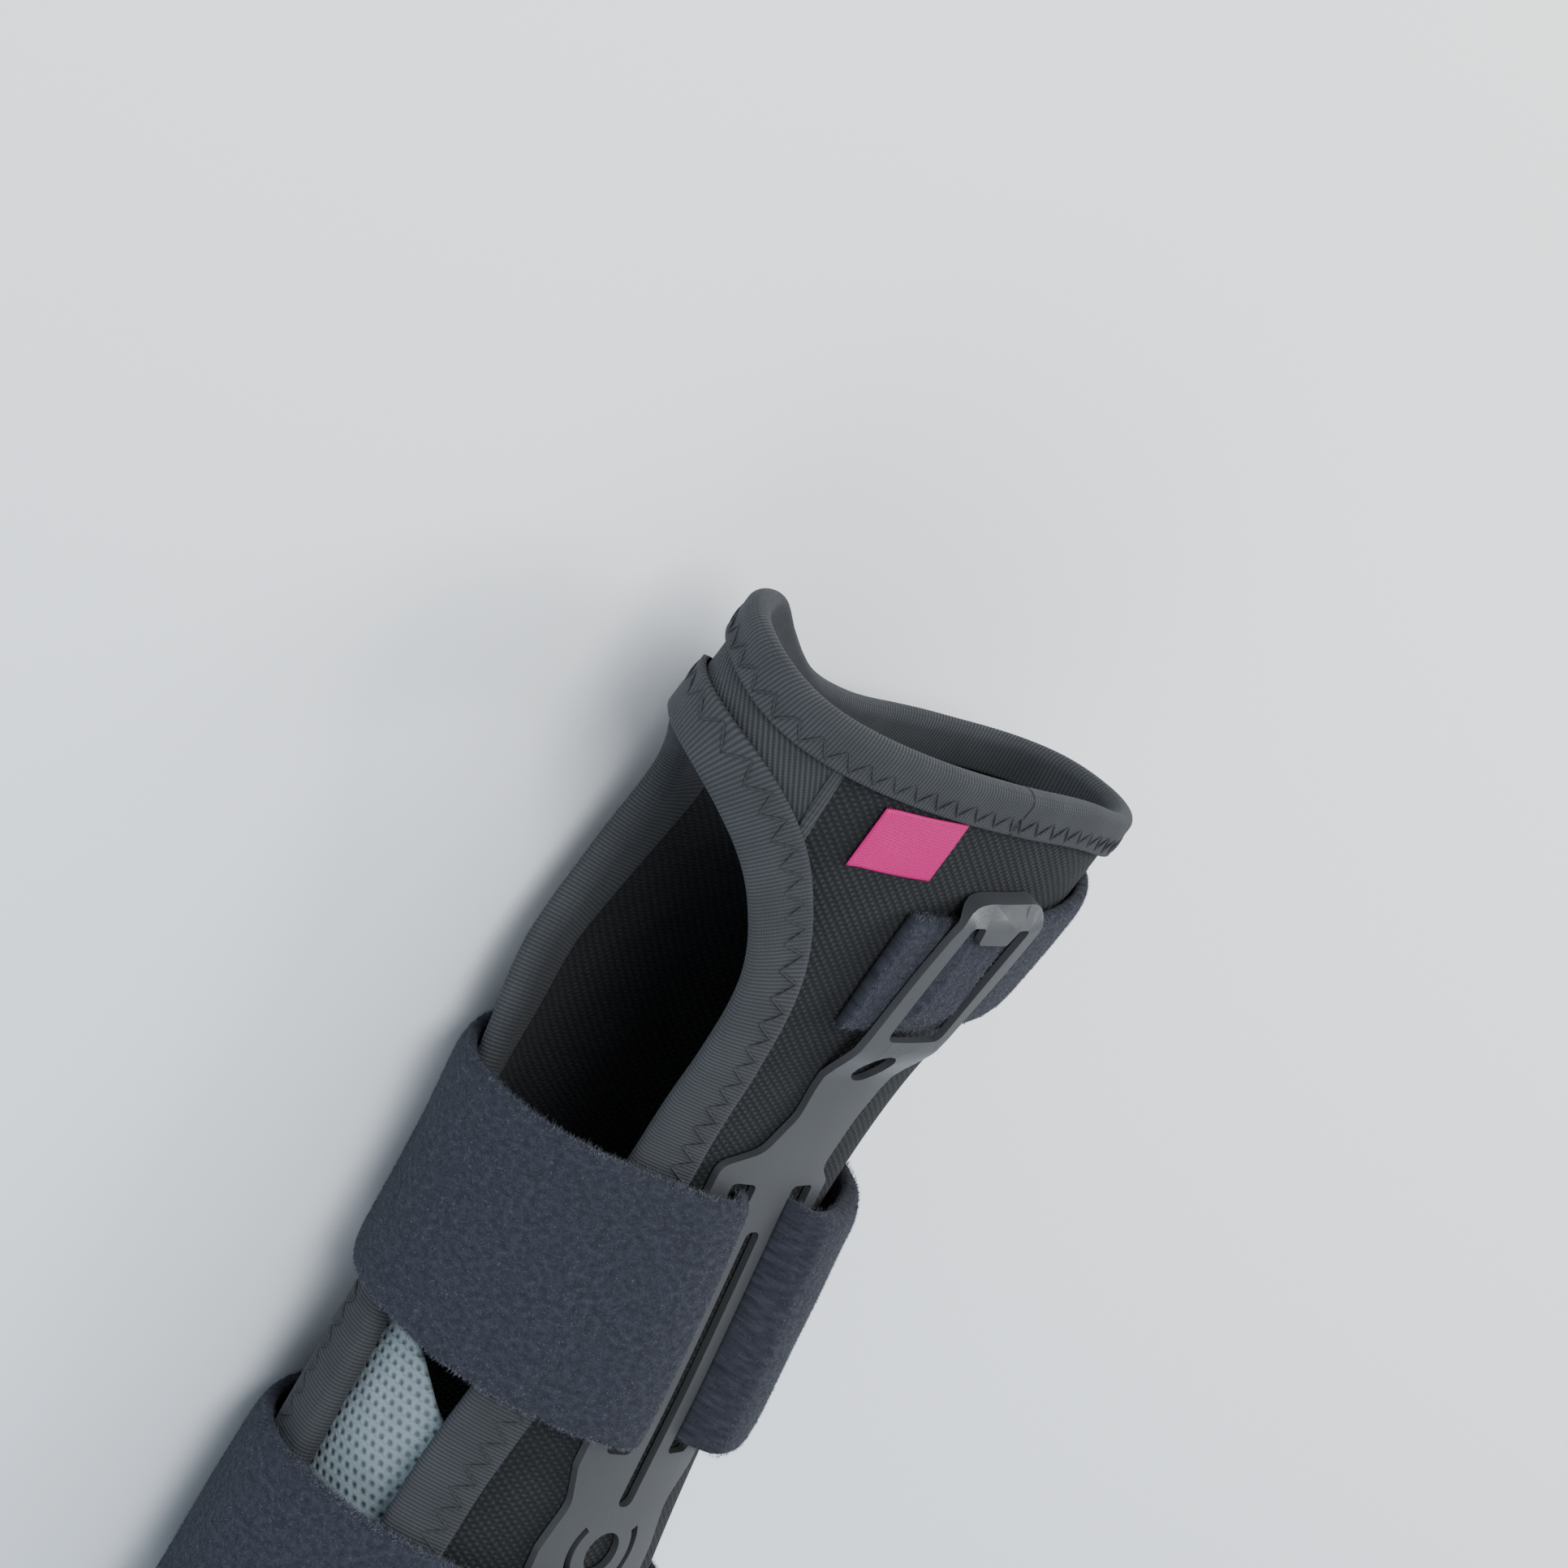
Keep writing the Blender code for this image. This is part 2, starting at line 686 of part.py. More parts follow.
holes = [
    fillet(scaled(WINDOW, frame_half), 2),
    circle(station(SCREW_HOLE[0]), FRAME_MIDDLE + SCREW_HOLE[1] * frame_half, SCREW_HOLE_RADIUS),
    circle(pivot_s, FRAME_MIDDLE, SCREW_HOLE_RADIUS),
    arc_slot(pivot_s, FRAME_MIDDLE, 1),
    arc_slot(pivot_s, FRAME_MIDDLE, -1),
]
for low, high in ((wrist_low, wrist_high), (fore_low, fore_high)):
    for side in (1, -1):
        edge_in = FRAME_MIDDLE + side * slot_in
        edge_out = FRAME_MIDDLE + side * slot_out
        holes.append(slot(low, high, edge_in, edge_out, SLOT_ROUNDING))
middle_low = FRAME_MIDDLE - CENTRE_SLOT_WIDTH / 2
middle_high = FRAME_MIDDLE + CENTRE_SLOT_WIDTH / 2
for low, high in (
    (pivot_s + PIVOT_ROOM, wrist_high - CENTRE_SLOT_STOP),
    (fore_low + SLOT_FROM_END, fore_high - SLOT_FROM_END),
):
    holes.append(slot(low, high, middle_low, middle_high, CENTRE_SLOT_WIDTH / 2))

plate = bmesh.new()
for line in [fillet(outline)] + holes:
    corners = [plate.verts.new((point[0], point[1], 0.0)) for point in line]
    for k, vertex in enumerate(corners):
        plate.edges.new((vertex, corners[(k + 1) % len(corners)]))
bmesh.ops.triangle_fill(plate, use_beauty=True, use_dissolve=False, edges=plate.edges[:])
cuts = [("s", value) for value in np.arange(frame_end, 0.0, 0.020)]
cuts += [("s", value) for value in np.arange(LIFT_START, station(HAND_PLATE[5][0]), 0.005)]
cuts += [("w", FRAME_MIDDLE + share * frame_half) for share in (-1.2, -0.6, 0.0, 0.6)]
for axis, value in cuts:
    bmesh.ops.bisect_plane(
        plate,
        geom=plate.verts[:] + plate.edges[:] + plate.faces[:],
        dist=1e-7,
        plane_co=(value, 0, 0) if axis == "s" else (0, value, 0),
        plane_no=(1, 0, 0) if axis == "s" else (0, 1, 0),
    )
grown = bmesh.ops.extrude_face_region(plate, geom=plate.faces[:])
top = [item for item in grown["geom"] if isinstance(item, bmesh.types.BMVert)]
bmesh.ops.translate(plate, verts=top, vec=(0.0, 0.0, 1.0))
for vertex in plate.verts:
    s, w, outside = vertex.co
    height = frame_underside(s) + (POLYMER if outside > 0.5 else 0.0)
    vertex.co = on_arm(s, w / girth(s, height), height)
add("dorsal_frame", plate, polymer)

# A strap's end runs over the frame's rail and down into its slot. run: distance from the end;
# under and top: heights over the arm
on_shell = cloth_outside + CLEARANCE
over_tape = 2 * TAPE + 2 * CLEARANCE + CLOTH + CLEARANCE
over_rail = on_shell + POLYMER + CLEARANCE
rail_end = SLOT_WIDTH - SEAM_INTO_SLOT
STRAP_END = (
    # run, under, top
    (0.0, on_shell, on_shell + 0.7 * PLUSH),
    (0.22 * rail_end, on_shell, on_shell + 1.6 * PLUSH),
    (0.50 * rail_end, on_shell, over_rail + 0.9 * PLUSH),
    (rail_end - CLEARANCE, over_rail, over_rail + PLUSH),
    (rail_end + RAIL_WIDTH + 0.0010, over_rail, over_rail + PLUSH),
    (rail_end + RAIL_WIDTH + 0.0050, over_rail - 0.0006, over_rail - 0.0006 + PLUSH),
    (rail_end + RAIL_WIDTH + 0.0120, over_tape, over_tape + PLUSH),
)


def strap_pattern(width, middle, slant):
    runs = [row[0] for row in STRAP_END]
    start = FRAME_MIDDLE + BAR_HALF_WIDTH + SEAM_INTO_SLOT
    end = FRAME_MIDDLE - BAR_HALF_WIDTH - SEAM_INTO_SLOT
    near = len(runs)

    def pattern(u, v, outside):
        k = u * STRAP_COLUMNS
        length = girth(middle, over_rail) + end - start
        side = min(k, STRAP_COLUMNS - k)
        if side <= near - 1:
            run = float(np.interp(side, range(near), runs))
        else:
            share = (side - near + 1) / (STRAP_COLUMNS / 2 - near + 1)
            run = runs[-1] + share * (length / 2 - runs[-1])
        under = float(np.interp(run, runs, [row[1] for row in STRAP_END]))
        top = float(np.interp(run, runs, [row[2] for row in STRAP_END]))
        across = start + run if k <= STRAP_COLUMNS / 2 else start + length - run
        turn = across / girth(middle, over_rail)
        lie, spread = strap_lie(turn, width, middle, slant)
        if k > STRAP_COLUMNS / 2:
            top += LOOP_LOFT * ramp(run, runs[1], runs[3]) * (1 - ramp(run, runs[4], 2.4 * runs[6]))
        return lie + (v - 0.5) * spread, turn, top if outside else under

    return pattern


wall(
    "wrist_strap",
    STRAP_COLUMNS,
    4,
    strap_pattern(WRIST_STRAP_WIDTH, WRIST_STRAP_STATION, WRIST_STRAP_SLANT),
    plush,
)
wall(
    "forearm_strap",
    STRAP_COLUMNS,
    4,
    strap_pattern(FOREARM_STRAP_WIDTH, FOREARM_STRAP_STATION, FOREARM_STRAP_SLANT),
    plush,
)


def hand_strap_pattern(u, v, outside):
    """From its free end beside the frame, under both rails and round to the palm. It swells a
    little into the frame's window."""
    size = girth(hand_strap_s, on_shell)
    start = HAND_STRAP_FREE_END / size
    turn = start + u * (HAND_STRAP_END_TURN - start)
    s = hand_strap_s + (v - 0.5) * HAND_STRAP_WIDTH
    off_middle = abs(turn * size - FRAME_MIDDLE - WINDOW_MIDDLE * frame_half)
    crown = HAND_STRAP_CROWN * (1 - ramp(off_middle, 0.0010, 0.0045))
    crown *= 1 - ramp(abs(v - 0.5), 0.17, 0.42)
    return s, turn, on_shell + crown + (PLUSH if outside else 0.0)


wall("hand_strap", 30, 6, hand_strap_pattern, plush)


def rest_on_ground():
    """Lays the brace on its underside, with the middle of its foot at the origin."""
    origin.rotation_euler.x = -SOLE_ANGLE
    bpy.context.view_layer.update()
    corners = []
    for item in bpy.context.scene.objects:
        if item.type == "MESH":
            corners += [item.matrix_world @ vertex.co for vertex in item.data.vertices]
    low = np.min(corners, axis=0)
    high = np.max(corners, axis=0)
    origin.location = (-(low[0] + high[0]) / 2, -(low[1] + high[1]) / 2, -low[2])


rest_on_ground()
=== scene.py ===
"""The wrist brace as it looks: cloth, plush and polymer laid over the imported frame.

Every piece is drawn flat, as a tailor's pattern is, and laid on the form of the arm. A pattern
point is a station along the arm from the crease of the wrist, a turn round it from the middle of
the back towards the thumb, as a share of the girth, and a height over the arm. Metres throughout.
"""

import math

import bmesh
import bpy
import numpy as np
from mathutils import Matrix, Vector


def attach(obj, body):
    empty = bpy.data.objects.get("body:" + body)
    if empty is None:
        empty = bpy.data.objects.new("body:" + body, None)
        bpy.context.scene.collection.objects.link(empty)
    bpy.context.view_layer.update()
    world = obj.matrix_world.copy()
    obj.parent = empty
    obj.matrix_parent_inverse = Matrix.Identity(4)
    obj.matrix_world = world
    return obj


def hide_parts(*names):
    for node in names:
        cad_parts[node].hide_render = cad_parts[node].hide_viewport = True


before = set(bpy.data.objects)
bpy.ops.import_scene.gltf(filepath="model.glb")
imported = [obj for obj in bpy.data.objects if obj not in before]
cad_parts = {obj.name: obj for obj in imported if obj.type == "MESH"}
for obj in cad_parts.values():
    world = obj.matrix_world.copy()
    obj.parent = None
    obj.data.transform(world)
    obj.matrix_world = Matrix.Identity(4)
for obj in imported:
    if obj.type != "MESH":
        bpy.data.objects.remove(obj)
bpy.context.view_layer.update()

# The arm's form, which every piece is laid on, and where its crease of the wrist lies in the row
FOREARM_LENGTH = 0.118
HAND_LENGTH = 0.098
WRIST_WIDTH = 0.062
BACK_HEIGHT = 0.0225
PALM_HEIGHT = 0.0166
BACK_ROUNDNESS = 2.15
PALM_ROUNDNESS = 2.3
RESTING_FLAT = 0.0006
SOLE_ANGLE = math.radians(2.6)
SOLE_END = 0.015
PALM_START = 0.031
HAND_LIFT = math.radians(11.0)
LIFT_START = 0.005
LIFT_END = 0.040
WRIST_PLACE = Vector((-0.000611, 0.010112, 0.023176))
ARM = np.array(
    (
        # along, width, back, palm
        (-1.00, 1.21, 1.27, 1.00),
        (-0.59, 1.10, 1.13, 1.00),
        (-0.38, 1.03, 1.04, 1.00),
        (-0.17, 0.97, 1.00, 1.00),
        (0.05, 0.99, 0.93, 1.00),
        (0.31, 1.18, 0.845, 1.03),
        (0.56, 1.40, 0.78, 1.03),
        (1.00, 1.47, 0.71, 0.93),
    )
)


def station(share):
    return np.where(np.asarray(share) > 0, HAND_LENGTH, FOREARM_LENGTH) * share


def smooth(xs, ys, x, period=None):
    """A smooth curve through the table's points, read at x. A period makes it go round."""
    xs = np.asarray(xs, float)
    ys = np.asarray(ys, float)
    x = np.asarray(x, float)
    if period:
        x = x % period
        xs = np.concatenate([xs[-2:] - period, xs, xs[:2] + period])
        ys = np.concatenate([ys[-2:], ys, ys[:2]])
    slopes = np.gradient(ys, xs)
    x = np.clip(x, xs[0], xs[-1])
    i = np.clip(np.searchsorted(xs, x) - 1, 0, len(xs) - 2)
    step = xs[i + 1] - xs[i]
    t = (x - xs[i]) / step
    start = (1 + 2 * t) * (1 - t) ** 2 * ys[i] + t * (1 - t) ** 2 * step * slopes[i]
    return start + t * t * (3 - 2 * t) * ys[i + 1] + t * t * (t - 1) * step * slopes[i + 1]


def ramp(x, low, high):
    t = np.clip((np.asarray(x, float) - low) / (high - low), 0, 1)
    return t * t * (3 - 2 * t)


RING_POINTS = 1441
STATIONS = np.linspace(-0.125, 0.108, 467)
TURNS = np.linspace(0, 1, RING_POINTS)
PROBE = 0.010


def section(s, height):
    """The arm's outline at a station: across, up and girth, at even turns."""
    along = station(ARM[:, 0])
    half = WRIST_WIDTH / 2 * smooth(along, ARM[:, 1], s)
    back = BACK_HEIGHT * smooth(along, ARM[:, 2], s)
    palm = PALM_HEIGHT * smooth(along, ARM[:, 3], s)
    sole = PALM_HEIGHT - s * math.tan(SOLE_ANGLE)
    palm = sole + (palm - sole) * ramp(s, SOLE_END, PALM_START)
    angle = np.linspace(0, math.tau, RING_POINTS)
    side = -np.sin(angle)
    up = np.cos(angle)
    power = np.where(up >= 0, 2 / BACK_ROUNDNESS, 2 / PALM_ROUNDNESS)
    x = (half + height) * np.sign(side) * np.abs(side) ** power
    z = np.where(up >= 0, back + height, palm + height) * np.sign(up) * np.abs(up) ** power
    z = np.maximum(z, RESTING_FLAT - palm - height)
    run = np.concatenate([[0], np.cumsum(np.hypot(np.diff(x), np.diff(z)))])
    return np.interp(TURNS * run[-1], run, x), np.interp(TURNS * run[-1], run, z), run[-1]


LOW = [section(s, 0.0) for s in STATIONS]
HIGH = [section(s, PROBE) for s in STATIONS]
ACROSS = np.array([row[0] for row in LOW])
ACROSS_GROWTH = (np.array([row[0] for row in HIGH]) - ACROSS) / PROBE
UP = np.array([row[1] for row in LOW])
UP_GROWTH = (np.array([row[1] for row in HIGH]) - UP) / PROBE
GIRTH = np.array([row[2] for row in LOW])
GIRTH_GROWTH = (np.array([row[2] for row in HIGH]) - GIRTH) / PROBE


def girth(s, height=0.0):
    return np.interp(s, STATIONS, GIRTH) + height * np.interp(s, STATIONS, GIRTH_GROWTH)


def to_row(points):
    """From the arm's own frame to the row's: laid down on the sole, and moved to its place."""
    turn = np.array(Matrix.Rotation(-SOLE_ANGLE, 3, "X"))
    return points @ turn.T + np.array(WRIST_PLACE)


def on_arm(s, turn, height):
    """The places of pattern points in the row frame."""
    s, turn, height = np.broadcast_arrays(*(np.asarray(v, float) for v in (s, turn, height)))
    i = np.clip((s - STATIONS[0]) / (STATIONS[1] - STATIONS[0]), 0, len(STATIONS) - 1.001)
    j = (turn % 1.0) * (len(TURNS) - 1)
    i0, j0 = i.astype(int), np.minimum(j.astype(int), len(TURNS) - 2)
    a, b = i - i0, j - j0

    def read(table):
        near = table[i0, j0] * (1 - b) + table[i0, j0 + 1] * b
        far = table[i0 + 1, j0] * (1 - b) + table[i0 + 1, j0 + 1] * b
        return near * (1 - a) + far * a

    across = read(ACROSS) + height * read(ACROSS_GROWTH)
    up = read(UP) + height * read(UP_GROWTH)
    rate = HAND_LIFT / (LIFT_END - LIFT_START)
    lean = np.clip(s - LIFT_START, 0, LIFT_END - LIFT_START) * rate
    beyond = np.maximum(s - LIFT_END, 0)
    y = np.minimum(s, LIFT_START) + np.sin(lean) / rate + beyond * np.cos(lean)
    rise = (1 - np.cos(lean)) / rate + beyond * np.sin(lean)
    return to_row(np.stack([across, y - up * np.sin(lean), rise + up * np.cos(lean)], -1))


WAVE_COUNT = 5
WAVE_TURN = 2.4
WAVE_GROWTH = 0.37
WAVE_PHASE = 1.7


def waves(s, w, size, seed):
    """Soft unevenness between -1 and 1 over the cloth, the same at each run."""
    total = 0.0
    for k in range(WAVE_COUNT):
        angle = WAVE_TURN * (k + seed)
        pitch = size * (1 + WAVE_GROWTH * k)
        along = s * math.cos(angle) + w * math.sin(angle)
        total = total + np.sin(math.tau * along / pitch + WAVE_PHASE * seed * (k + 1))
    return total / WAVE_COUNT


def linked(name, data):
    """A new object of the scene."""
    made = bpy.data.objects.new(name, data)
    bpy.context.scene.collection.objects.link(made)
    return made


# The camera stands on the thumb side, a little behind, as the photograph's did
SHOT_FROM_BACK = math.radians(55.0)
SHOT_FROM_FINGERS = math.radians(16.4)
ARM_SLANT = math.radians(62.4)
SHOT_DISTANCE = 0.950
PIXELS = 1932
PIXELS_PER_METRE = 8300
AIM_PIXEL = (770, 1445)
SENSOR = 0.036

out = np.array(
    (
        -math.sin(SHOT_FROM_BACK) * math.cos(SHOT_FROM_FINGERS),
        math.sin(SHOT_FROM_FINGERS),
        math.cos(SHOT_FROM_BACK) * math.cos(SHOT_FROM_FINGERS),
    )
)
fingers = np.array((0.0, 1.0, 0.0)) - out[1] * out
fingers /= np.linalg.norm(fingers)
level = np.cross(fingers, out)
slant = math.pi / 2 - ARM_SLANT
right = math.cos(slant) * level + math.sin(slant) * fingers
upright = -math.sin(slant) * level + math.cos(slant) * fingers
aim_right = (AIM_PIXEL[0] - PIXELS / 2) / PIXELS_PER_METRE
aim_up = (PIXELS / 2 - AIM_PIXEL[1]) / PIXELS_PER_METRE
eye = out * SHOT_DISTANCE - right * aim_right - upright * aim_up

lens = bpy.data.cameras.new("camera")
lens.sensor_width = SENSOR * 1000
lens.lens = PIXELS_PER_METRE * SHOT_DISTANCE / PIXELS * SENSOR * 1000
camera = linked("camera", lens)
laid = Matrix.Rotation(-SOLE_ANGLE, 3, "X")
facing = laid @ Matrix(np.stack([right, upright, out], 1).tolist())
camera.matrix_world = Matrix.Translation(Vector(to_row(eye[None])[0])) @ facing.to_4x4()
bpy.context.scene.camera = camera


# Shared shader building: a material with a Principled shader, and small node helpers
def new_material(name, sheen=0.0, coat=0.0, specular=0.5):
    made = bpy.data.materials.new(name)
    made.use_nodes = True
    shader = made.node_tree.nodes["Principled BSDF"]
    for key, value in (
        ("Sheen Weight", sheen),
        ("Sheen Roughness", 0.45),
        ("Coat Weight", coat),
        ("Coat Roughness", 0.25),
        ("Specular IOR Level", specular),
    ):
        shader.inputs[key].default_value = value
    return made, made.node_tree, shader


def node(tree, kind, inputs=None, **settings):
    made = tree.nodes.new(kind)
    for key, value in settings.items():
        setattr(made, key, value)
    for key, value in (inputs or {}).items():
        if isinstance(value, bpy.types.NodeSocket):
            tree.links.new(value, made.inputs[key])
        else:
            made.inputs[key].default_value = value
    return made


def maths(tree, operation, a, b=0.0):
    return node(tree, "ShaderNodeMath", {0: a, 1: b}, operation=operation).outputs[0]


def noise(tree, place, scale, detail=2.0):
    inputs = {"Vector": place, "Scale": scale, "Detail": detail}
    return node(tree, "ShaderNodeTexNoise", inputs).outputs[0]


def blend(tree, share, dark, light):
    """The colour between two, each an RGBA tuple or a socket."""
    return node(tree, "ShaderNodeMix", {0: share, 6: dark, 7: light}, data_type="RGBA").outputs[2]


def place_in(tree):
    return tree.nodes.new("ShaderNodeTexCoord").outputs["Object"]


def flat_uv(tree):
    """The place in the flat pattern, in metres: round the arm, and along it."""
    uv = tree.nodes.new("ShaderNodeUVMap")
    uv.uv_map = "flat"
    return uv.outputs[0]


def finish_material(tree, shader, colour, roughness, height=None, relief=0.0):
    """Joins colour, roughness and, where given, the relief of a height in metres to the shader."""
    tree.links.new(colour, shader.inputs["Base Color"])
    if isinstance(roughness, float):
        shader.inputs["Roughness"].default_value = roughness
    else:
        tree.links.new(roughness, shader.inputs["Roughness"])
    if height is not None:
        bump = node(tree, "ShaderNodeBump", {"Height": height, "Distance": relief})
        tree.links.new(bump.outputs[0], shader.inputs["Normal"])


def cloth_group(name):
    """An empty shader group that gives cloth its colour, roughness and relief from its UV."""
    group = bpy.data.node_groups.new(name, "ShaderNodeTree")
    # The input Colour is the painted shade of the yarn's hollows, and Lit Colour the painted highlight
    # on the raised yarn
    for title, way, kind in (
        ("Colour", "INPUT", "Color"),
        ("Lit Colour", "INPUT", "Color"),
        ("Pitch", "INPUT", "Float"),
        ("Slant", "INPUT", "Float"),
        ("Colour", "OUTPUT", "Color"),
        ("Roughness", "OUTPUT", "Float"),
        ("Height", "OUTPUT", "Float"),
    ):
        group.interface.new_socket(title, in_out=way, socket_type="NodeSocket" + kind)
    given = group.nodes.new("NodeGroupInput")
    result = group.nodes.new("NodeGroupOutput")
    uv = flat_uv(group)
    turned = node(group, "ShaderNodeVectorRotate", {"Vector": uv}, rotation_type="Z_AXIS")
    group.links.new(given.outputs["Slant"], turned.inputs["Angle"])
    apart = node(group, "ShaderNodeSeparateXYZ", {0: turned.outputs[0]})
    across = maths(group, "DIVIDE", apart.outputs[0], given.outputs["Pitch"])
    along = maths(group, "DIVIDE", apart.outputs[1], given.outputs["Pitch"])
    return group, given, result, uv, across, along


PATCH_SCALE = 130.0
PATCH_FLOOR = 0.35
FUZZ_SCALE = 3600.0
FUZZ_SHARE = 0.35
YARN_PAINTED_HIGHLIGHT = 0.8
YARN_SHINE = 0.18
CLOTH_ROUGHNESS = 0.95


def finish_cloth(group, given, result, uv, relief):
    """Ends a cloth group: the raised yarn takes the lit colour, a painted highlight, and the hollows
    keep the darker colour, a painted shade; broad patches vary, and fine fuzz is added.
    """
    patches = noise(group, uv, PATCH_SCALE, 4.0)
    fuzz = maths(group, "MULTIPLY", noise(group, uv, FUZZ_SCALE, 3.0), FUZZ_SHARE)
    # Painted highlight and shade: the yarn's relief lightens the colour where it stands up and leaves it
    # dark in the hollows
    share = maths(group, "ADD", maths(group, "MULTIPLY", relief, YARN_PAINTED_HIGHLIGHT), fuzz)
    share = maths(group, "MULTIPLY", share, maths(group, "ADD", patches, PATCH_FLOOR))
    colour = blend(group, share, given.outputs["Colour"], given.outputs["Lit Colour"])
    group.links.new(colour, result.inputs["Colour"])
    shine = maths(group, "MULTIPLY", relief, YARN_SHINE)
    group.links.new(maths(group, "SUBTRACT", CLOTH_ROUGHNESS, shine), result.inputs["Roughness"])
    height = maths(group, "ADD", relief, fuzz)
    group.links.new(height, result.inputs["Height"])
    return group


def wave(tree, position):
    """A soft ridge across each unit of the position, from 0 to 1."""
    turned = maths(tree, "MULTIPLY", position, math.tau)
    return maths(tree, "ADD", maths(tree, "MULTIPLY", maths(tree, "SINE", turned), 0.5), 0.5)


TWILL_STEP = 0.36
TWILL_RIB_SHARE = 0.25
BEADS_PER_RIB = 1.6
BEAD_SHARE = 0.4
DIMPLE_POWER = 1.6


def weave_group():
    """A coarse twill: rows of dots, each row set over by a part of the pitch."""
    group, given, result, uv, across, along = cloth_group("twill")
    row = maths(group, "FLOOR", along)
    set_over = maths(group, "ADD", across, maths(group, "MULTIPLY", row, TWILL_STEP))
    dots = maths(group, "MULTIPLY", wave(group, set_over), wave(group, along))
    slanting = wave(group, maths(group, "ADD", across, along))
    ribs = maths(group, "MULTIPLY", slanting, TWILL_RIB_SHARE)
    return finish_cloth(group, given, result, uv, maths(group, "ADD", dots, ribs))


def rib_group():
    """A knitted tape: fine ribs with a small bead at each stitch."""
    group, given, result, uv, across, along = cloth_group("rib knit")
    ribs = wave(group, across)
    beads = wave(group, maths(group, "MULTIPLY", along, BEADS_PER_RIB))
    beaded = maths(group, "ADD", maths(group, "MULTIPLY", beads, BEAD_SHARE), 1 - BEAD_SHARE)
    relief = maths(group, "MULTIPLY", ribs, beaded)
    return finish_cloth(group, given, result, uv, relief)


def spacer_group():
    """A spacer knit: rows of small oval dimples, every other row set over by half."""
    group, given, result, uv, across, along = cloth_group("spacer knit")
    row = maths(group, "FLOOR", along)
    set_over = maths(group, "ADD", across, maths(group, "MULTIPLY", row, 0.5))
    dimple = maths(group, "MULTIPLY", wave(group, set_over), wave(group, along))
    sharp = maths(group, "POWER", dimple, DIMPLE_POWER)
    return finish_cloth(group, given, result, uv, maths(group, "SUBTRACT", 1.0, sharp))


TWILL = weave_group()
RIBS = rib_group()
SPACER = spacer_group()


def cloth_material(name, group, colour, lit, pitch, slant, relief, sheen):
    """A cloth look made by one of the groups. relief is the depth of its yarn in metres."""
    made, tree, shader = new_material(name, sheen=sheen, specular=0.15)
    # colour is the painted shade of the yarn's hollows, and lit the painted highlight on the raised yarn
    inputs = {"Colour": (*colour, 1), "Lit Colour": (*lit, 1), "Pitch": pitch, "Slant": slant}
    cloth = node(tree, "ShaderNodeGroup", node_tree=group)
    for key, value in inputs.items():
        cloth.inputs[key].default_value = value
    colour, roughness, height = (cloth.outputs[key] for key in ("Colour", "Roughness", "Height"))
    finish_material(tree, shader, colour, roughness, height, relief)
    return made


# Building of pieces from patterns
def mesh_object(name, points, faces, material, uv=None, smooth_faces=True):
    mesh = bpy.data.meshes.new(name)
    mesh.from_pydata(np.asarray(points).tolist(), [], faces)
    if uv is not None:
        layer = mesh.uv_layers.new(name="flat")
        corner = np.zeros(len(mesh.loops), np.int32)
        mesh.loops.foreach_get("vertex_index", corner)
        layer.data.foreach_set("uv", np.asarray(uv, np.float32)[corner].ravel())
    if smooth_faces:
        mesh.shade_smooth()
    mesh.materials.append(material)
    return linked(name, mesh)


def outwards(made):
    """Merges doubles and turns the faces out."""
    shape = bmesh.new()
    shape.from_mesh(made.data)
    bmesh.ops.remove_doubles(shape, verts=shape.verts, dist=1e-7)
    bmesh.ops.recalc_face_normals(shape, faces=shape.faces)
    shape.to_mesh(made.data)
    shape.free()


def wall(name, columns, rows, pattern, material, lip=0.25):
    """A wall laid on the arm. pattern takes arrays u and v from 0 to 1 and gives stations, turns,
    and the heights of its under side and its outer side. lip rounds its edges, as a share of the
    wall, over the outermost rows and columns."""
    u, v = np.meshgrid(np.linspace(0, 1, columns + 1), np.linspace(0, 1, rows + 1))
    s, turn, under, top = (np.broadcast_to(part, u.shape) for part in pattern(u, v))
    edge = np.minimum(np.minimum(u, 1 - u) * columns, np.minimum(v, 1 - v) * rows)
    drawn = lip * (top - under) * np.clip(1 - edge, 0, 1)
    count = u.size
    points = np.concatenate(
        [on_arm(s, turn, under + drawn).reshape(-1, 3), on_arm(s, turn, top - drawn).reshape(-1, 3)]
    )
    w = turn * girth(s)
    uv = np.stack([w.ravel(), s.ravel()], 1)
    index = np.arange(count).reshape(rows + 1, columns + 1)
    a, b = index[:-1, :-1].ravel(), index[:-1, 1:].ravel()
    c, d = index[1:, 1:].ravel(), index[1:, :-1].ravel()
    faces = np.concatenate(
        [np.stack([a, d, c, b], 1), np.stack([a, b, c, d], 1) + count]
    ).tolist()
    border = np.concatenate([index[0, :], index[1:, -1], index[-1, -2::-1], index[-2:0:-1, 0]])
    for k, low in enumerate(border):
        after = border[(k + 1) % len(border)]
        faces.append([int(low), int(after), int(after + count), int(low + count)])
    made = mesh_object(name, points, faces, material, np.concatenate([uv, uv]))
    outwards(made)
    return made


def show(made, *nodes, slot):
    """The piece moves with the brace and stands for its CAD nodes. slot is not used."""
    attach(made, "root")
    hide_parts(*nodes)


def run_along(s, turn):
    """The distance walked along a line of pattern points, at each of them."""
    steps = np.hypot(np.diff(s), np.diff(turn) * girth(s[1:]))
    return np.concatenate([[0], np.cumsum(steps)])


def line_of(points, steps):
    """A smooth line through pattern points, cut into even steps."""
    knots = np.arange(len(points))
    fine = np.linspace(0, knots[-1], 40 * len(points))
    s = smooth(knots, [p[0] for p in points], fine)
    turn = smooth(knots, [p[1] for p in points], fine)
    run = run_along(s, turn)
    even = np.linspace(0, run[-1], steps + 1)
    return np.interp(even, run, s), np.interp(even, run, turn)


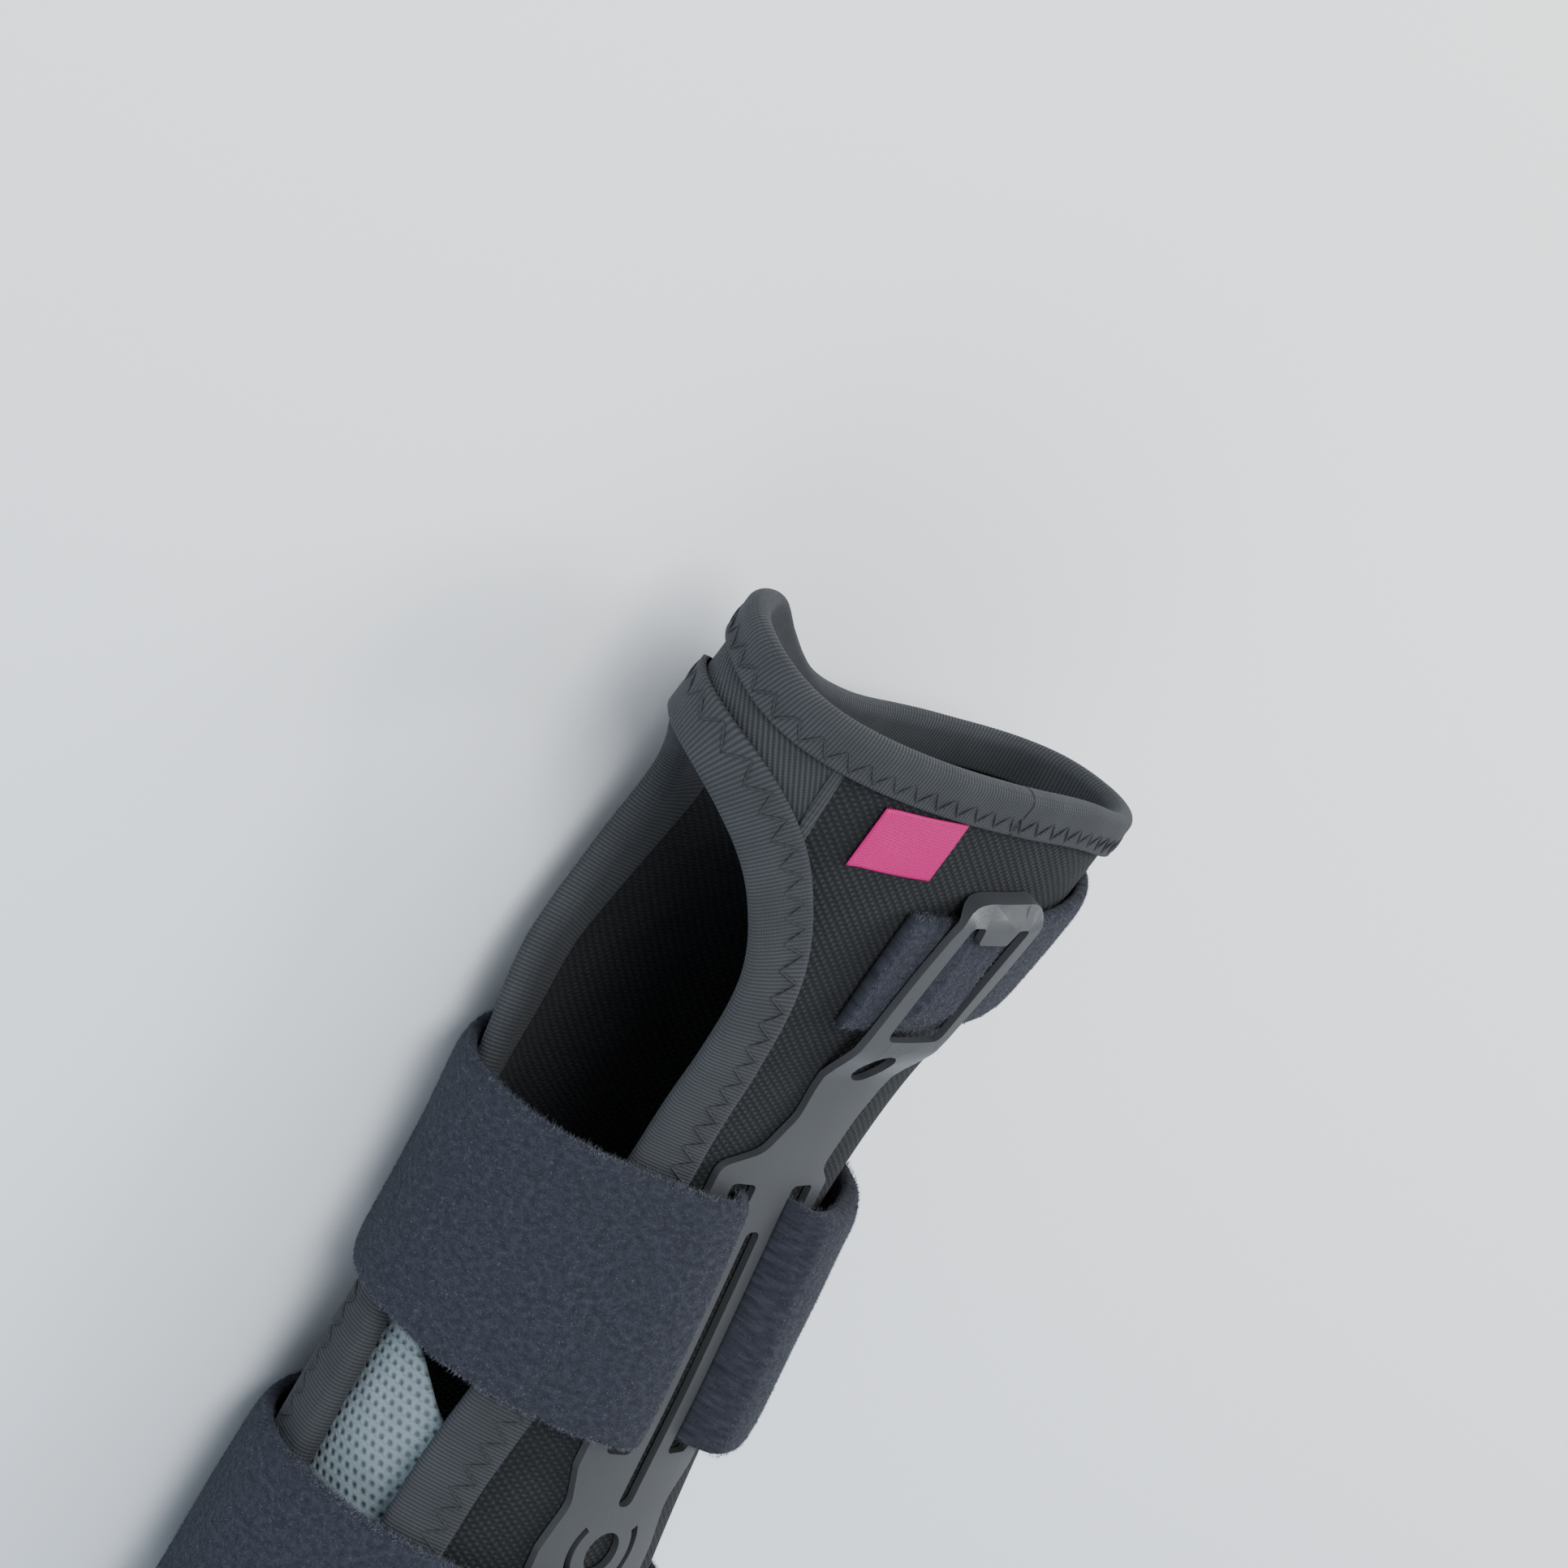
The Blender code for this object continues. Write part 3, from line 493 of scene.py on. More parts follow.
def inwards(line, closed, side):
    """For each point of a line, the unit direction into the cloth, along and round the arm."""
    s, turn = line
    if closed:
        along = np.roll(s, -1) - np.roll(s, 1)
        turned = np.roll(turn, -1) - np.roll(turn, 1)
    else:
        along = np.gradient(s)
        turned = np.gradient(turn)
    turned = (turned - np.round(turned)) * girth(s)
    length = np.hypot(along, turned)
    return -side * turned / length, side * along / length


def set_in(line, closed, side, depth):
    a, b = inwards(line, closed, side)
    return line[0] + depth * a, line[1] + depth * b / girth(line[0])


# Layers of the walls, from the arm outwards
CLOTH = 0.0016
TAPE = 0.0009
PLUSH = 0.0026
LINER = 0.0014
POLYMER = 0.0024
CLEARANCE = 0.0004
LINER_SLACK = 0.0006
CLOTH_INSIDE = TAPE + CLEARANCE
CLOTH_OUTSIDE = CLOTH_INSIDE + CLOTH
TAPE_OUTSIDE = 2 * TAPE + 2 * CLEARANCE + CLOTH
EDGE_INSET = TAPE + 2 * CLEARANCE
END_CLOTH_DEPTH = 0.0050
CORNER_RADIUS = 0.012

# The lines that the cloth is cut and bound along
RIM = (
    # turn, along
    (0.00, 0.925),
    (0.10, 0.945),
    (0.20, 0.968),
    (0.27, 1.000),
    (0.34, 0.985),
    (0.40, 0.905),
    (0.46, 0.825),
    (0.52, 0.785),
    (0.62, 0.775),
    (0.72, 0.800),
    (0.82, 0.845),
    (0.91, 0.900),
)
OPENING = (
    # along, turn
    (-0.90, 0.200),
    (-0.42, 0.190),
    (-0.22, 0.178),
    (0.00, 0.157),
    (0.20, 0.142),
    (0.38, 0.130),
    (0.52, 0.134),
    (0.64, 0.163),
    (0.725, 0.202),
    (0.775, 0.250),
    (0.765, 0.310),
    (0.69, 0.362),
    (0.59, 0.384),
    (0.44, 0.368),
    (0.28, 0.334),
    (0.08, 0.302),
    (-0.20, 0.280),
    (-0.42, 0.272),
    (-0.90, 0.266),
)
BACK_SEAM = (0.655, 0.166)
PALM_SEAM = (0.600, 0.420)
PROXIMAL = -FOREARM_LENGTH
TAPE_JOIN = PROXIMAL + CORNER_RADIUS + CLEARANCE


def rim_station(turn):
    return HAND_LENGTH * smooth([row[0] for row in RIM], [row[1] for row in RIM], turn, 1.0)


opening_points = [(float(station(a)), t) for a, t in OPENING]
opening_points[0] = (TAPE_JOIN + CLEARANCE, OPENING[0][1])
opening_points[-1] = (TAPE_JOIN + CLEARANCE, OPENING[-1][1])
opening_line = line_of(opening_points, 420)
opening_cut = set_in(opening_line, False, -1, EDGE_INSET)
top_of_opening = int(np.argmax(opening_cut[0]))
back_cut = (opening_cut[0][: top_of_opening + 1], opening_cut[1][: top_of_opening + 1])
palm_cut = (opening_cut[0][top_of_opening:][::-1], opening_cut[1][top_of_opening:][::-1])
back_seam_s = HAND_LENGTH * BACK_SEAM[0]
palm_seam_s = HAND_LENGTH * PALM_SEAM[0]
back_seam = (back_seam_s, float(np.interp(back_seam_s, *back_cut)))
palm_seam = (palm_seam_s, float(np.interp(palm_seam_s, *palm_cut)))
back_seam_rim = (float(rim_station(BACK_SEAM[1])) - EDGE_INSET, BACK_SEAM[1])
palm_seam_rim = (float(rim_station(PALM_SEAM[1])) - EDGE_INSET, PALM_SEAM[1])


# The shell: a woven, backed cloth that wraps the back, the little-finger side and the palm. It is
# cut as one sheet and sewn to the web panel at two seams
# The woven's darker colour is painted shade in the twill's hollows, and its lit colour a painted
# highlight on the raised yarn
WOVEN_SHADED = (0.0060, 0.0068, 0.0078)
WOVEN_LIT = (0.025, 0.0275, 0.031)
TWILL_PITCH = 0.00105
TWILL_SLANT = math.radians(-38)
FAN_REACH = 0.80
woven = cloth_material("woven", TWILL, WOVEN_SHADED, WOVEN_LIT, TWILL_PITCH, TWILL_SLANT, 0.0003, 0.02)


def shell_pattern(u, v):
    fan_start = min(back_seam_s, palm_seam_s)
    low = PROXIMAL + END_CLOTH_DEPTH
    high = FAN_REACH * HAND_LENGTH
    s = low + v * (high - low)
    fan = np.maximum(s - fan_start, 0) / (high - fan_start)
    left_s = np.where(s < fan_start, s, fan_start + fan * (back_seam_rim[0] - fan_start))
    right_s = np.where(s < fan_start, s, fan_start + fan * (palm_seam_rim[0] - fan_start))
    seam_gap = CLEARANCE / 2 / girth(s)
    back_seams = np.interp(left_s, (back_seam[0], back_seam_rim[0]), (back_seam[1], back_seam_rim[1]))
    palm_seams = np.interp(right_s, (palm_seam[0], palm_seam_rim[0]), (palm_seam[1], palm_seam_rim[1]))
    left = np.where(left_s > back_seam_s, back_seams, np.interp(left_s, *back_cut)) - seam_gap
    right = np.where(right_s > palm_seam_s, palm_seams, np.interp(right_s, *palm_cut)) - 1 + seam_gap
    turn = left + u * (right - left)
    radius = CORNER_RADIUS - EDGE_INSET
    short = np.clip(PROXIMAL + CORNER_RADIUS - s, 0, radius)
    draw = (radius - np.sqrt(radius**2 - short**2)) / girth(s)
    turn = turn - draw * np.clip(1 - u * 5, 0, 1) + draw * np.clip(1 - (1 - u) * 5, 0, 1)
    slanting = fan_start + fan * (rim_station(turn) - EDGE_INSET - fan_start)
    s = np.where(fan > 0, slanting, s)
    sag = 0.00016 * waves(s, turn * girth(s), 0.019, 3)
    return s, turn, CLOTH_INSIDE + sag, CLOTH_OUTSIDE + sag


shell = wall("shell_panel_cloth", 220, 170, shell_pattern, woven)
show(shell, "shell_panel", slot="woven_cloth")


# The web panel: a knit, softer than the shell, through the web of the thumb
# The knit's darker colour is painted shade between its ribs, and its lit colour a painted highlight on
# the ribs
KNIT_SHADED = (0.016, 0.0178, 0.020)
KNIT_LIT = (0.060, 0.066, 0.073)
KNIT_PITCH = 0.00075
knit = cloth_material("knit", RIBS, KNIT_SHADED, KNIT_LIT, KNIT_PITCH, math.radians(28), 0.00022, 0.03)

on_web = [back_seam]
on_web += [
    (s, t)
    for k, (s, t) in enumerate(zip(*opening_cut))
    if (k <= top_of_opening and s > back_seam_s) or (k > top_of_opening and s > palm_seam_s)
]
on_web.append(palm_seam)
web_line = np.array(on_web).T


def web_pattern(u, v):
    ends = np.linspace(0, 1, web_line.shape[1])
    s = np.interp(u, ends, web_line[0])
    turn = np.interp(u, ends, web_line[1])
    rim_turn = BACK_SEAM[1] + u * (PALM_SEAM[1] - BACK_SEAM[1])
    turn = turn + v * (rim_turn - turn) + CLEARANCE / 2 / girth(back_seam_s) * (1 - 2 * u)
    s = s + v * (rim_station(rim_turn) - EDGE_INSET - s)
    sag = 0.00018 * waves(s, turn * girth(s), 0.011, 5)
    return s, turn, CLOTH_INSIDE + sag, CLOTH_OUTSIDE + sag


web = wall("web_panel_cloth", 160, 60, web_pattern, knit)
show(web, "web_panel", slot="knit_cloth")


# The bindings: a ribbed knit tape folded over each cloth edge and held by zigzag stitching. Its
# ribs run across the tape, and the stitches draw it in a little
# The tape's darker colour is painted shade between its ribs, and its lit colour a painted highlight on
# the ribs
TAPE_SHADED = (0.019, 0.021, 0.024)
TAPE_LIT = (0.056, 0.061, 0.068)
RIB_PITCH = 0.00058
STITCH_PITCH = 0.0040
PUCKER = 0.00022
tape_knit = cloth_material("tape", RIBS, TAPE_SHADED, TAPE_LIT, RIB_PITCH, 0.0, 0.00012, 0.03)


LEAF_POINTS = 12
NOSE_POINTS = 15
NOSE_REACH = 0.42
STITCH_ROW = 0.72
STITCH_ROW_SPREAD = 0.16
TAPE_WAVE = 0.00012
TAPE_WAVE_SIZE = 0.013
TAPE_GROUND = 0.0002


def tape(name, line, closed, side, width, node_name, seed):
    """A folded tape: a rounded U section carried along the line of the edge."""
    leaf = np.linspace(0, 1, LEAF_POINTS)
    nose = np.linspace(-math.pi / 2, math.pi / 2, NOSE_POINTS)
    reach = NOSE_REACH * TAPE_OUTSIDE
    depth = np.concatenate(
        [
            width - (width - reach) * leaf,
            reach * (1 - np.cos(nose[::-1]))[1:-1],
            reach + (width - reach) * leaf,
            width - (width - TAPE) * leaf,
            TAPE + (width - TAPE) * leaf,
        ]
    )
    height = np.concatenate(
        [
            np.full(LEAF_POINTS, TAPE_OUTSIDE),
            TAPE_OUTSIDE / 2 * (1 + np.sin(nose[::-1]))[1:-1],
            np.zeros(LEAF_POINTS),
            np.full(LEAF_POINTS, TAPE),
            np.full(LEAF_POINTS, TAPE_OUTSIDE - TAPE),
        ]
    )
    s, turn = line
    count = len(s)
    a, b = inwards(line, closed, side)
    sizes = girth(s)
    grid_s = s[:, None] + depth[None] * a[:, None]
    grid_turn = turn[:, None] + depth[None] * (b / sizes)[:, None]
    run = run_along(s, np.unwrap(turn, period=1))
    outer = height > 0.6 * TAPE_OUTSIDE
    stitched = np.exp(-(((depth - STITCH_ROW * width) / (STITCH_ROW_SPREAD * width)) ** 2))
    pull = PUCKER * (0.6 + 0.4 * np.cos(math.tau * run / STITCH_PITCH))
    heights = height[None] - np.where(outer, pull[:, None] * stitched[None], 0.0)
    uneven = TAPE_WAVE * waves(run[:, None], depth[None], TAPE_WAVE_SIZE, seed)
    heights = heights + uneven * (height[None] > TAPE_GROUND)
    points = on_arm(grid_s, grid_turn, heights).reshape(-1, 3)
    m = len(depth)
    faces = []
    for j in range(count if closed else count - 1):
        k = (j + 1) % count
        for i in range(m):
            n = (i + 1) % m
            faces.append([j * m + i, j * m + n, k * m + n, k * m + i])
    if not closed:
        faces.append(list(range(m)))
        faces.append([(count - 1) * m + i for i in range(m)][::-1])
    uv = np.stack([np.repeat(run[:, None], m, 1).ravel(), np.tile(depth, count)], 1)
    made = mesh_object(name, points, faces, tape_knit, uv)
    outwards(made)
    show(made, node_name, slot="knit_cloth")


OPENING_TAPE_WIDTH = 0.0095
RIM_TAPE_WIDTH = 0.0068
END_TAPE_WIDTH = 0.0085
tape("opening_tape", opening_line, False, -1, OPENING_TAPE_WIDTH, "opening_binding", 2)

rim_turns = np.linspace(0, 1, 281)[:-1]
rim_line = (rim_station(rim_turns), rim_turns)
tape("rim_tape", rim_line, True, 1, RIM_TAPE_WIDTH, "rim_binding", 4)

corner_turn = CORNER_RADIUS / girth(PROXIMAL)
start_turn, end_turn = OPENING[0][1], OPENING[-1][1] - 1
quarter = np.linspace(0, math.pi / 2, 14)
corner_s = PROXIMAL + CORNER_RADIUS * (1 - np.sin(quarter))
straight = np.linspace(start_turn - corner_turn, end_turn + corner_turn, 180)[1:-1]
end_s = np.concatenate(
    [[TAPE_JOIN], corner_s, np.full(straight.shape, PROXIMAL), corner_s[::-1], [TAPE_JOIN]]
)
end_turns = np.concatenate(
    [
        [start_turn],
        start_turn - corner_turn * (1 - np.cos(quarter)),
        straight,
        (end_turn + corner_turn * (1 - np.cos(quarter)))[::-1],
        [end_turn],
    ]
)
end_line = (end_s, end_turns)
tape("proximal_tape", end_line, False, 1, END_TAPE_WIDTH, "proximal_binding", 6)

# The stitching: black zigzag thread through each tape's inner margin
THREAD_RADIUS = 0.00017
THREAD_SIDES = 6
thread, thread_tree, thread_shader = new_material("thread", specular=0.2)
THREAD_DARK = (0.006, 0.007, 0.008, 1)
THREAD_LIGHT = (0.05, 0.053, 0.058, 1)
thread_share = noise(thread_tree, place_in(thread_tree), 4000.0)
thread_colour = blend(thread_tree, thread_share, THREAD_DARK, THREAD_LIGHT)
finish_material(thread_tree, thread_shader, thread_colour, 0.7)


def threads(name, runs, material):
    """Round threads along runs of row-frame points, joined into one piece."""
    points, faces = [], []
    for run in runs:
        base = len(points)
        count = len(run)
        for k, centre in enumerate(run):
            ahead = run[min(k + 1, count - 1)] - run[max(k - 1, 0)]
            ahead = ahead / (np.linalg.norm(ahead) + 1e-12)
            side = np.cross(ahead, (0.3, 0.2, 0.93))
            side /= np.linalg.norm(side)
            over = np.cross(side, ahead)
            for q in range(THREAD_SIDES):
                angle = math.tau * q / THREAD_SIDES
                points.append(centre + THREAD_RADIUS * (math.cos(angle) * side + math.sin(angle) * over))
        for k in range(count - 1):
            for q in range(THREAD_SIDES):
                n = (q + 1) % THREAD_SIDES
                low, high = base + k * THREAD_SIDES, base + (k + 1) * THREAD_SIDES
                faces.append([low + q, low + n, high + n, high + q])
        faces.append([base + q for q in range(THREAD_SIDES)][::-1])
        faces.append([base + (count - 1) * THREAD_SIDES + q for q in range(THREAD_SIDES)])
    made = mesh_object(name, points, faces, material)
    outwards(made)
    return made


LEG_STEPS = 6
ARCH_HEIGHT = 0.00016
THREAD_SUNK = 0.00002
STITCH_PULL = 0.4


def zigzag(line, closed, side, middle, spread, pitch):
    """Pattern places of a zigzag along a line, each leg drawn as a low arch."""
    s, turn = line
    if closed:
        s, turn = np.append(s, s[0]), np.append(turn, 1.0)
    a, b = inwards(line, closed, side)
    if closed:
        a, b = np.append(a, a[0]), np.append(b, b[0])
    run = run_along(s, turn)
    legs = int(run[-1] / (pitch / 2))
    step = np.linspace(0, run[-1], legs * LEG_STEPS + 1)
    phase = np.arange(len(step)) / LEG_STEPS
    swing = np.abs((phase % 2) - 1) * 2 - 1
    depth = middle + spread * swing
    arch = ARCH_HEIGHT * np.abs(np.sin(math.pi * phase)) - THREAD_SUNK
    height = TAPE_OUTSIDE - STITCH_PULL * PUCKER + arch
    at_s, at_turn = np.interp(step, run, s), np.interp(step, run, turn)
    at_a, at_b = np.interp(step, run, a), np.interp(step, run, b)
    return at_s + depth * at_a, at_turn + depth * at_b / girth(at_s), height


stitch_runs = [
    on_arm(*zigzag(opening_line, False, -1, 0.74 * OPENING_TAPE_WIDTH, 0.0016, STITCH_PITCH)),
    on_arm(*zigzag(rim_line, True, 1, 0.70 * RIM_TAPE_WIDTH, 0.0014, STITCH_PITCH)),
    on_arm(*zigzag(end_line, False, 1, 0.72 * END_TAPE_WIDTH, 0.0015, STITCH_PITCH)),
]
stitches = threads("binding_stitches", stitch_runs, thread)
show(stitches, "opening_binding", slot="knit_cloth")

# The web panel's seams: a narrow raised ridge where the two cloths are lapped
SEAM_HEIGHT = 0.0006
SEAM_HALF_WIDTH = 0.0011
SEAM_SUNK = 0.0003
BEAD_HEIGHT = 0.00010
BEAD_PITCH = 0.0013


def seam_ridge(name, low, high):
    def pattern(u, v):
        s = low[0] + v * (high[0] - low[0])
        turn = low[1] + v * (high[1] - low[1])
        turn = turn + (u - 0.5) * 2 * SEAM_HALF_WIDTH / girth(s)
        crown = SEAM_HEIGHT * np.sqrt(np.clip(1 - (2 * u - 1) ** 2, 0, 1))
        bead = BEAD_HEIGHT * np.sin(math.tau * v * (high[0] - low[0]) / BEAD_PITCH)
        return s, turn, CLOTH_OUTSIDE - SEAM_SUNK, CLOTH_OUTSIDE + 0.00004 + crown + bead

    made = wall(name, 12, 90, pattern, tape_knit)
    show(made, "web_panel", slot="knit_cloth")


SEAM_START = 0.009
seam_ridge("back_seam_ridge", (back_seam[0] + SEAM_START, back_seam[1]), back_seam_rim)
seam_ridge("palm_seam_ridge", (palm_seam[0] + SEAM_START, palm_seam[1]), palm_seam_rim)

# The liner: a light blue-grey spacer knit, a few millimetres thick, that pads the forearm slit
LINER_EDGE = (
    # turn, along
    (0.130, -0.36),
    (0.193, -0.31),
    (0.244, -0.25),
    (0.269, -0.235),
    (0.330, -0.225),
)
LINER_START = -0.955
LINER_SAG = 0.00015
# The liner's darker colour is painted shade in its dimples, and its lit colour a painted highlight on
# the knit between them
LINER_SHADED = (0.065, 0.082, 0.092)
LINER_LIT = (0.200, 0.250, 0.276)
DIMPLE_PITCH = 0.0017
spacer = cloth_material("spacer", SPACER, LINER_SHADED, LINER_LIT, DIMPLE_PITCH, 0.0, 0.0005, 0.03)


def liner_pattern(u, v):
    low, high = LINER_EDGE[0][0], LINER_EDGE[-1][0]
    turn = low + u * (high - low)
    edge = FOREARM_LENGTH * smooth([r[0] for r in LINER_EDGE], [r[1] for r in LINER_EDGE], turn)
    s = FOREARM_LENGTH * LINER_START + v * (edge - FOREARM_LENGTH * LINER_START)
    sag = LINER_SAG * waves(s, turn * girth(s), 0.015, 7)
    return s, turn, -LINER_SLACK - LINER + sag, -LINER_SLACK - LINER_SAG + sag


liner = wall("liner", 90, 170, liner_pattern, spacer)
show(liner, "liner_tongue", slot="liner_knit")

# The label: a small satin ribbon, blank, folded at its thumb-side end and sewn down
LABEL_LENGTH = 0.0172
LABEL_HEIGHT = 0.0105
LABEL_STATION = 0.805 * HAND_LENGTH
LABEL_START = 0.0090
LABEL_THICKNESS = 0.0004
LABEL_GAP = 0.0002
FOLD_HEIGHT = 0.0006
FOLD_SHARE = 0.09
satin, satin_tree, satin_shader = new_material("satin", specular=0.3)
SATIN_SHADED = (0.30, 0.0, 0.082, 1)
SATIN_LIT = (0.56, 0.0, 0.165, 1)
satin_parts = node(satin_tree, "ShaderNodeSeparateXYZ", {0: flat_uv(satin_tree)})
satin_ribs = wave(satin_tree, maths(satin_tree, "DIVIDE", satin_parts.outputs[0], 0.00042))
satin_cross = wave(satin_tree, maths(satin_tree, "DIVIDE", satin_parts.outputs[1], 0.00030))
satin_relief = maths(satin_tree, "ADD", satin_ribs, maths(satin_tree, "MULTIPLY", satin_cross, 0.5))
# Painted highlight and shade: the ribs' relief, which also bumps the ribbon, lightens the colour on the
# ribs and darkens it between them
satin_colour = blend(satin_tree, satin_relief, SATIN_SHADED, SATIN_LIT)
finish_material(satin_tree, satin_shader, satin_colour, 0.42, satin_relief, 0.0001)


def label_pattern(u, v):
    s = LABEL_STATION + (v - 0.5) * LABEL_HEIGHT
    fold = np.exp(-(((1 - u) / FOLD_SHARE) ** 2))
    base = CLOTH_OUTSIDE + LABEL_GAP
    uneven = 0.00008 * waves(s, u * LABEL_LENGTH, 0.006, 9)
    top = base + LABEL_THICKNESS + FOLD_HEIGHT * fold + uneven
    return s, (LABEL_START + u * LABEL_LENGTH) / girth(s, base), base, top


label = wall("label_ribbon", 60, 36, label_pattern, satin)
show(label, "label", slot="satin_label")

# The frame: one moulding of fibre-filled polymer, flexible enough to follow the arm. A thin lip
# runs round its outline and its holes, and its face stands up inside the lip
WRIST_STRAP_WIDTH = 0.0430
WRIST_STRAP_STATION = -0.0080
WRIST_STRAP_SLANT = 0.0026
FOREARM_STRAP_WIDTH = 0.0435
FOREARM_STRAP_STATION = -0.0785
FOREARM_STRAP_SLANT = 0.0065
HAND_STRAP_WIDTH = 0.0205
HAND_STRAP_STATION = 0.59 * HAND_LENGTH
BAR_HALF_WIDTH = 0.0043
SLOT_WIDTH = 0.0051
RAIL_WIDTH = 0.0036
SLOT_END_ROOM = 0.0022
FRAME_MIDDLE = 0.0001
SCREW_HOLE_RADIUS = 0.0035
CENTRE_SLOT_WIDTH = 0.0030
ARC_SLOT_RADIUS = 0.0068
ARC_SLOT_WIDTH = 0.0013
ARC_SLOT_SPREAD = math.radians(37.0)
PIVOT_FROM_SLOT = 0.0057
FRAME_END_ROOM = 0.0046
SEAM_INTO_SLOT = 0.0014
WAIST_SHARE = 0.84
WING = 0.0028
PIVOT_WAIST = 0.008
SLOT_ROUNDING = 0.0012
SLOT_FROM_END = 0.004
CENTRE_SLOT_STOP = 0.009
PIVOT_ROOM = 0.008
RISE_START = 0.011
RISE_CLEAR = 0.0008
RISE_END = 0.0045
LIP_WIDTH = 0.0007
LIP_SHARE = 0.50
CUT_STEP = 0.0025
CUTS_END = 0.0745
CUT_SIDES = (-0.022, 0.014)
HAND_PLATE = (
    # along, across, rounding in millimetres
    (0.225, 0.48, 5.0),
    (0.300, 0.24, 7.0),
    (0.390, 0.28, 6.0),
    (0.455, 0.30, 8.0),
    (0.610, 0.19, 20.0),
    (0.742, 0.05, 8.0),
    (0.742, -1.62, 8.0),
    (0.610, -1.46, 20.0),
    (0.455, -1.18, 8.0),
    (0.300, -0.86, 8.0),
    (0.195, -0.74, 3.0),
)
WINDOW = (
    # along, across, rounding in millimetres
    (0.707, -0.14, 1.2),
    (0.707, -0.38, 0.8),
    (0.676, -0.44, 0.8),
    (0.674, -1.02, 0.8),
    (0.703, -1.08, 0.8),
    (0.703, -1.32, 1.2),
    (0.486, -1.05, 2.0),
    (0.486, 0.00, 2.0),
)
SCREW_HOLE = (0.418, -0.36)
frame_half = BAR_HALF_WIDTH + SLOT_WIDTH + RAIL_WIDTH


def fillet(corners, arc_steps=8):
    """The outline through the corners, each rounded by an arc of its own radius."""
    line = []
    for i, (s, w, radius) in enumerate(corners):
        corner = np.array((s, w))
        back = np.array(corners[i - 1][:2]) - corner
        ahead = np.array(corners[(i + 1) % len(corners)][:2]) - corner
        room = np.linalg.norm(back), np.linalg.norm(ahead)
        back, ahead = back / room[0], ahead / room[1]
        half = math.acos(min(max(float(back @ ahead), -1.0), 1.0)) / 2
        reach = min(radius / math.tan(half), 0.48 * room[0], 0.48 * room[1])
        for k in range(arc_steps + 1):
            t = k / arc_steps
            start, end = corner + back * reach, corner + ahead * reach
            line.append((1 - t) ** 2 * start + 2 * t * (1 - t) * corner + t * t * end)
    return line


def circle(s, w, radius, steps=40):
    turns = np.linspace(0, math.tau, steps, endpoint=False)
    return [np.array((s + radius * math.cos(t), w + radius * math.sin(t))) for t in turns]


def arc_slot(s, w, side, steps=12):
    angles = ARC_SLOT_SPREAD * np.linspace(-1, 1, steps + 1)
    radii = ARC_SLOT_RADIUS + ARC_SLOT_WIDTH / 2, ARC_SLOT_RADIUS - ARC_SLOT_WIDTH / 2
    far = [(s + radii[0] * math.sin(a), w + side * radii[0] * math.cos(a)) for a in angles]
    near = [(s + radii[1] * math.sin(a), w + side * radii[1] * math.cos(a)) for a in angles[::-1]]
    return [np.array(point) for point in far + near]


def scaled(table):
    return [(float(station(a)), FRAME_MIDDLE + w * frame_half, r * 0.001) for a, w, r in table]


def slot_line(low, high, left, right, radius):
    corners = ((low, left), (high, left), (high, right), (low, right))
    return fillet([(*corner, radius) for corner in corners])


def strap_ends(middle, width):
    return middle - width / 2 - SLOT_END_ROOM, middle + width / 2 + SLOT_END_ROOM


wrist_low, wrist_high = strap_ends(WRIST_STRAP_STATION, WRIST_STRAP_WIDTH)
fore_low, fore_high = strap_ends(FOREARM_STRAP_STATION, FOREARM_STRAP_WIDTH)
waist = WAIST_SHARE * frame_half
left_side, right_side = FRAME_MIDDLE + frame_half, FRAME_MIDDLE - frame_half
pivot_s = fore_high + PIVOT_FROM_SLOT
frame_end = fore_low - FRAME_END_ROOM
outline = [
    (frame_end, left_side, 0.005),
    (fore_high + 2 * WING, left_side, 0.003),
    (pivot_s + PIVOT_WAIST, FRAME_MIDDLE + waist, 0.006),
    (wrist_low - WING, left_side, 0.004),
    (wrist_high + WING, left_side, 0.003),
]
outline += scaled(HAND_PLATE)
outline += [
    (wrist_high + CLEARANCE, right_side, 0.002),
    (wrist_low - WING, right_side, 0.004),
    (pivot_s + PIVOT_WAIST, FRAME_MIDDLE - waist, 0.006),
    (fore_high + 2 * WING, right_side, 0.003),
    (frame_end, right_side, 0.005),
]
hole_place = (float(station(SCREW_HOLE[0])), FRAME_MIDDLE + SCREW_HOLE[1] * frame_half)
holes = [
    fillet(scaled(WINDOW)),
    circle(*hole_place, SCREW_HOLE_RADIUS),
    circle(pivot_s, FRAME_MIDDLE, SCREW_HOLE_RADIUS),
    arc_slot(pivot_s, FRAME_MIDDLE, 1),
    arc_slot(pivot_s, FRAME_MIDDLE, -1),
]
for low, high in ((wrist_low, wrist_high), (fore_low, fore_high)):
    for side in (1, -1):
        edge_in = FRAME_MIDDLE + side * BAR_HALF_WIDTH
        edge_out = FRAME_MIDDLE + side * (BAR_HALF_WIDTH + SLOT_WIDTH)
        holes.append(slot_line(low, high, edge_in, edge_out, SLOT_ROUNDING))
middle_sides = FRAME_MIDDLE - CENTRE_SLOT_WIDTH / 2, FRAME_MIDDLE + CENTRE_SLOT_WIDTH / 2
for low, high in (
    (pivot_s + PIVOT_ROOM, wrist_high - CENTRE_SLOT_STOP),
    (fore_low + SLOT_FROM_END, fore_high - SLOT_FROM_END),
):
    holes.append(slot_line(low, high, *middle_sides, CENTRE_SLOT_WIDTH / 2))

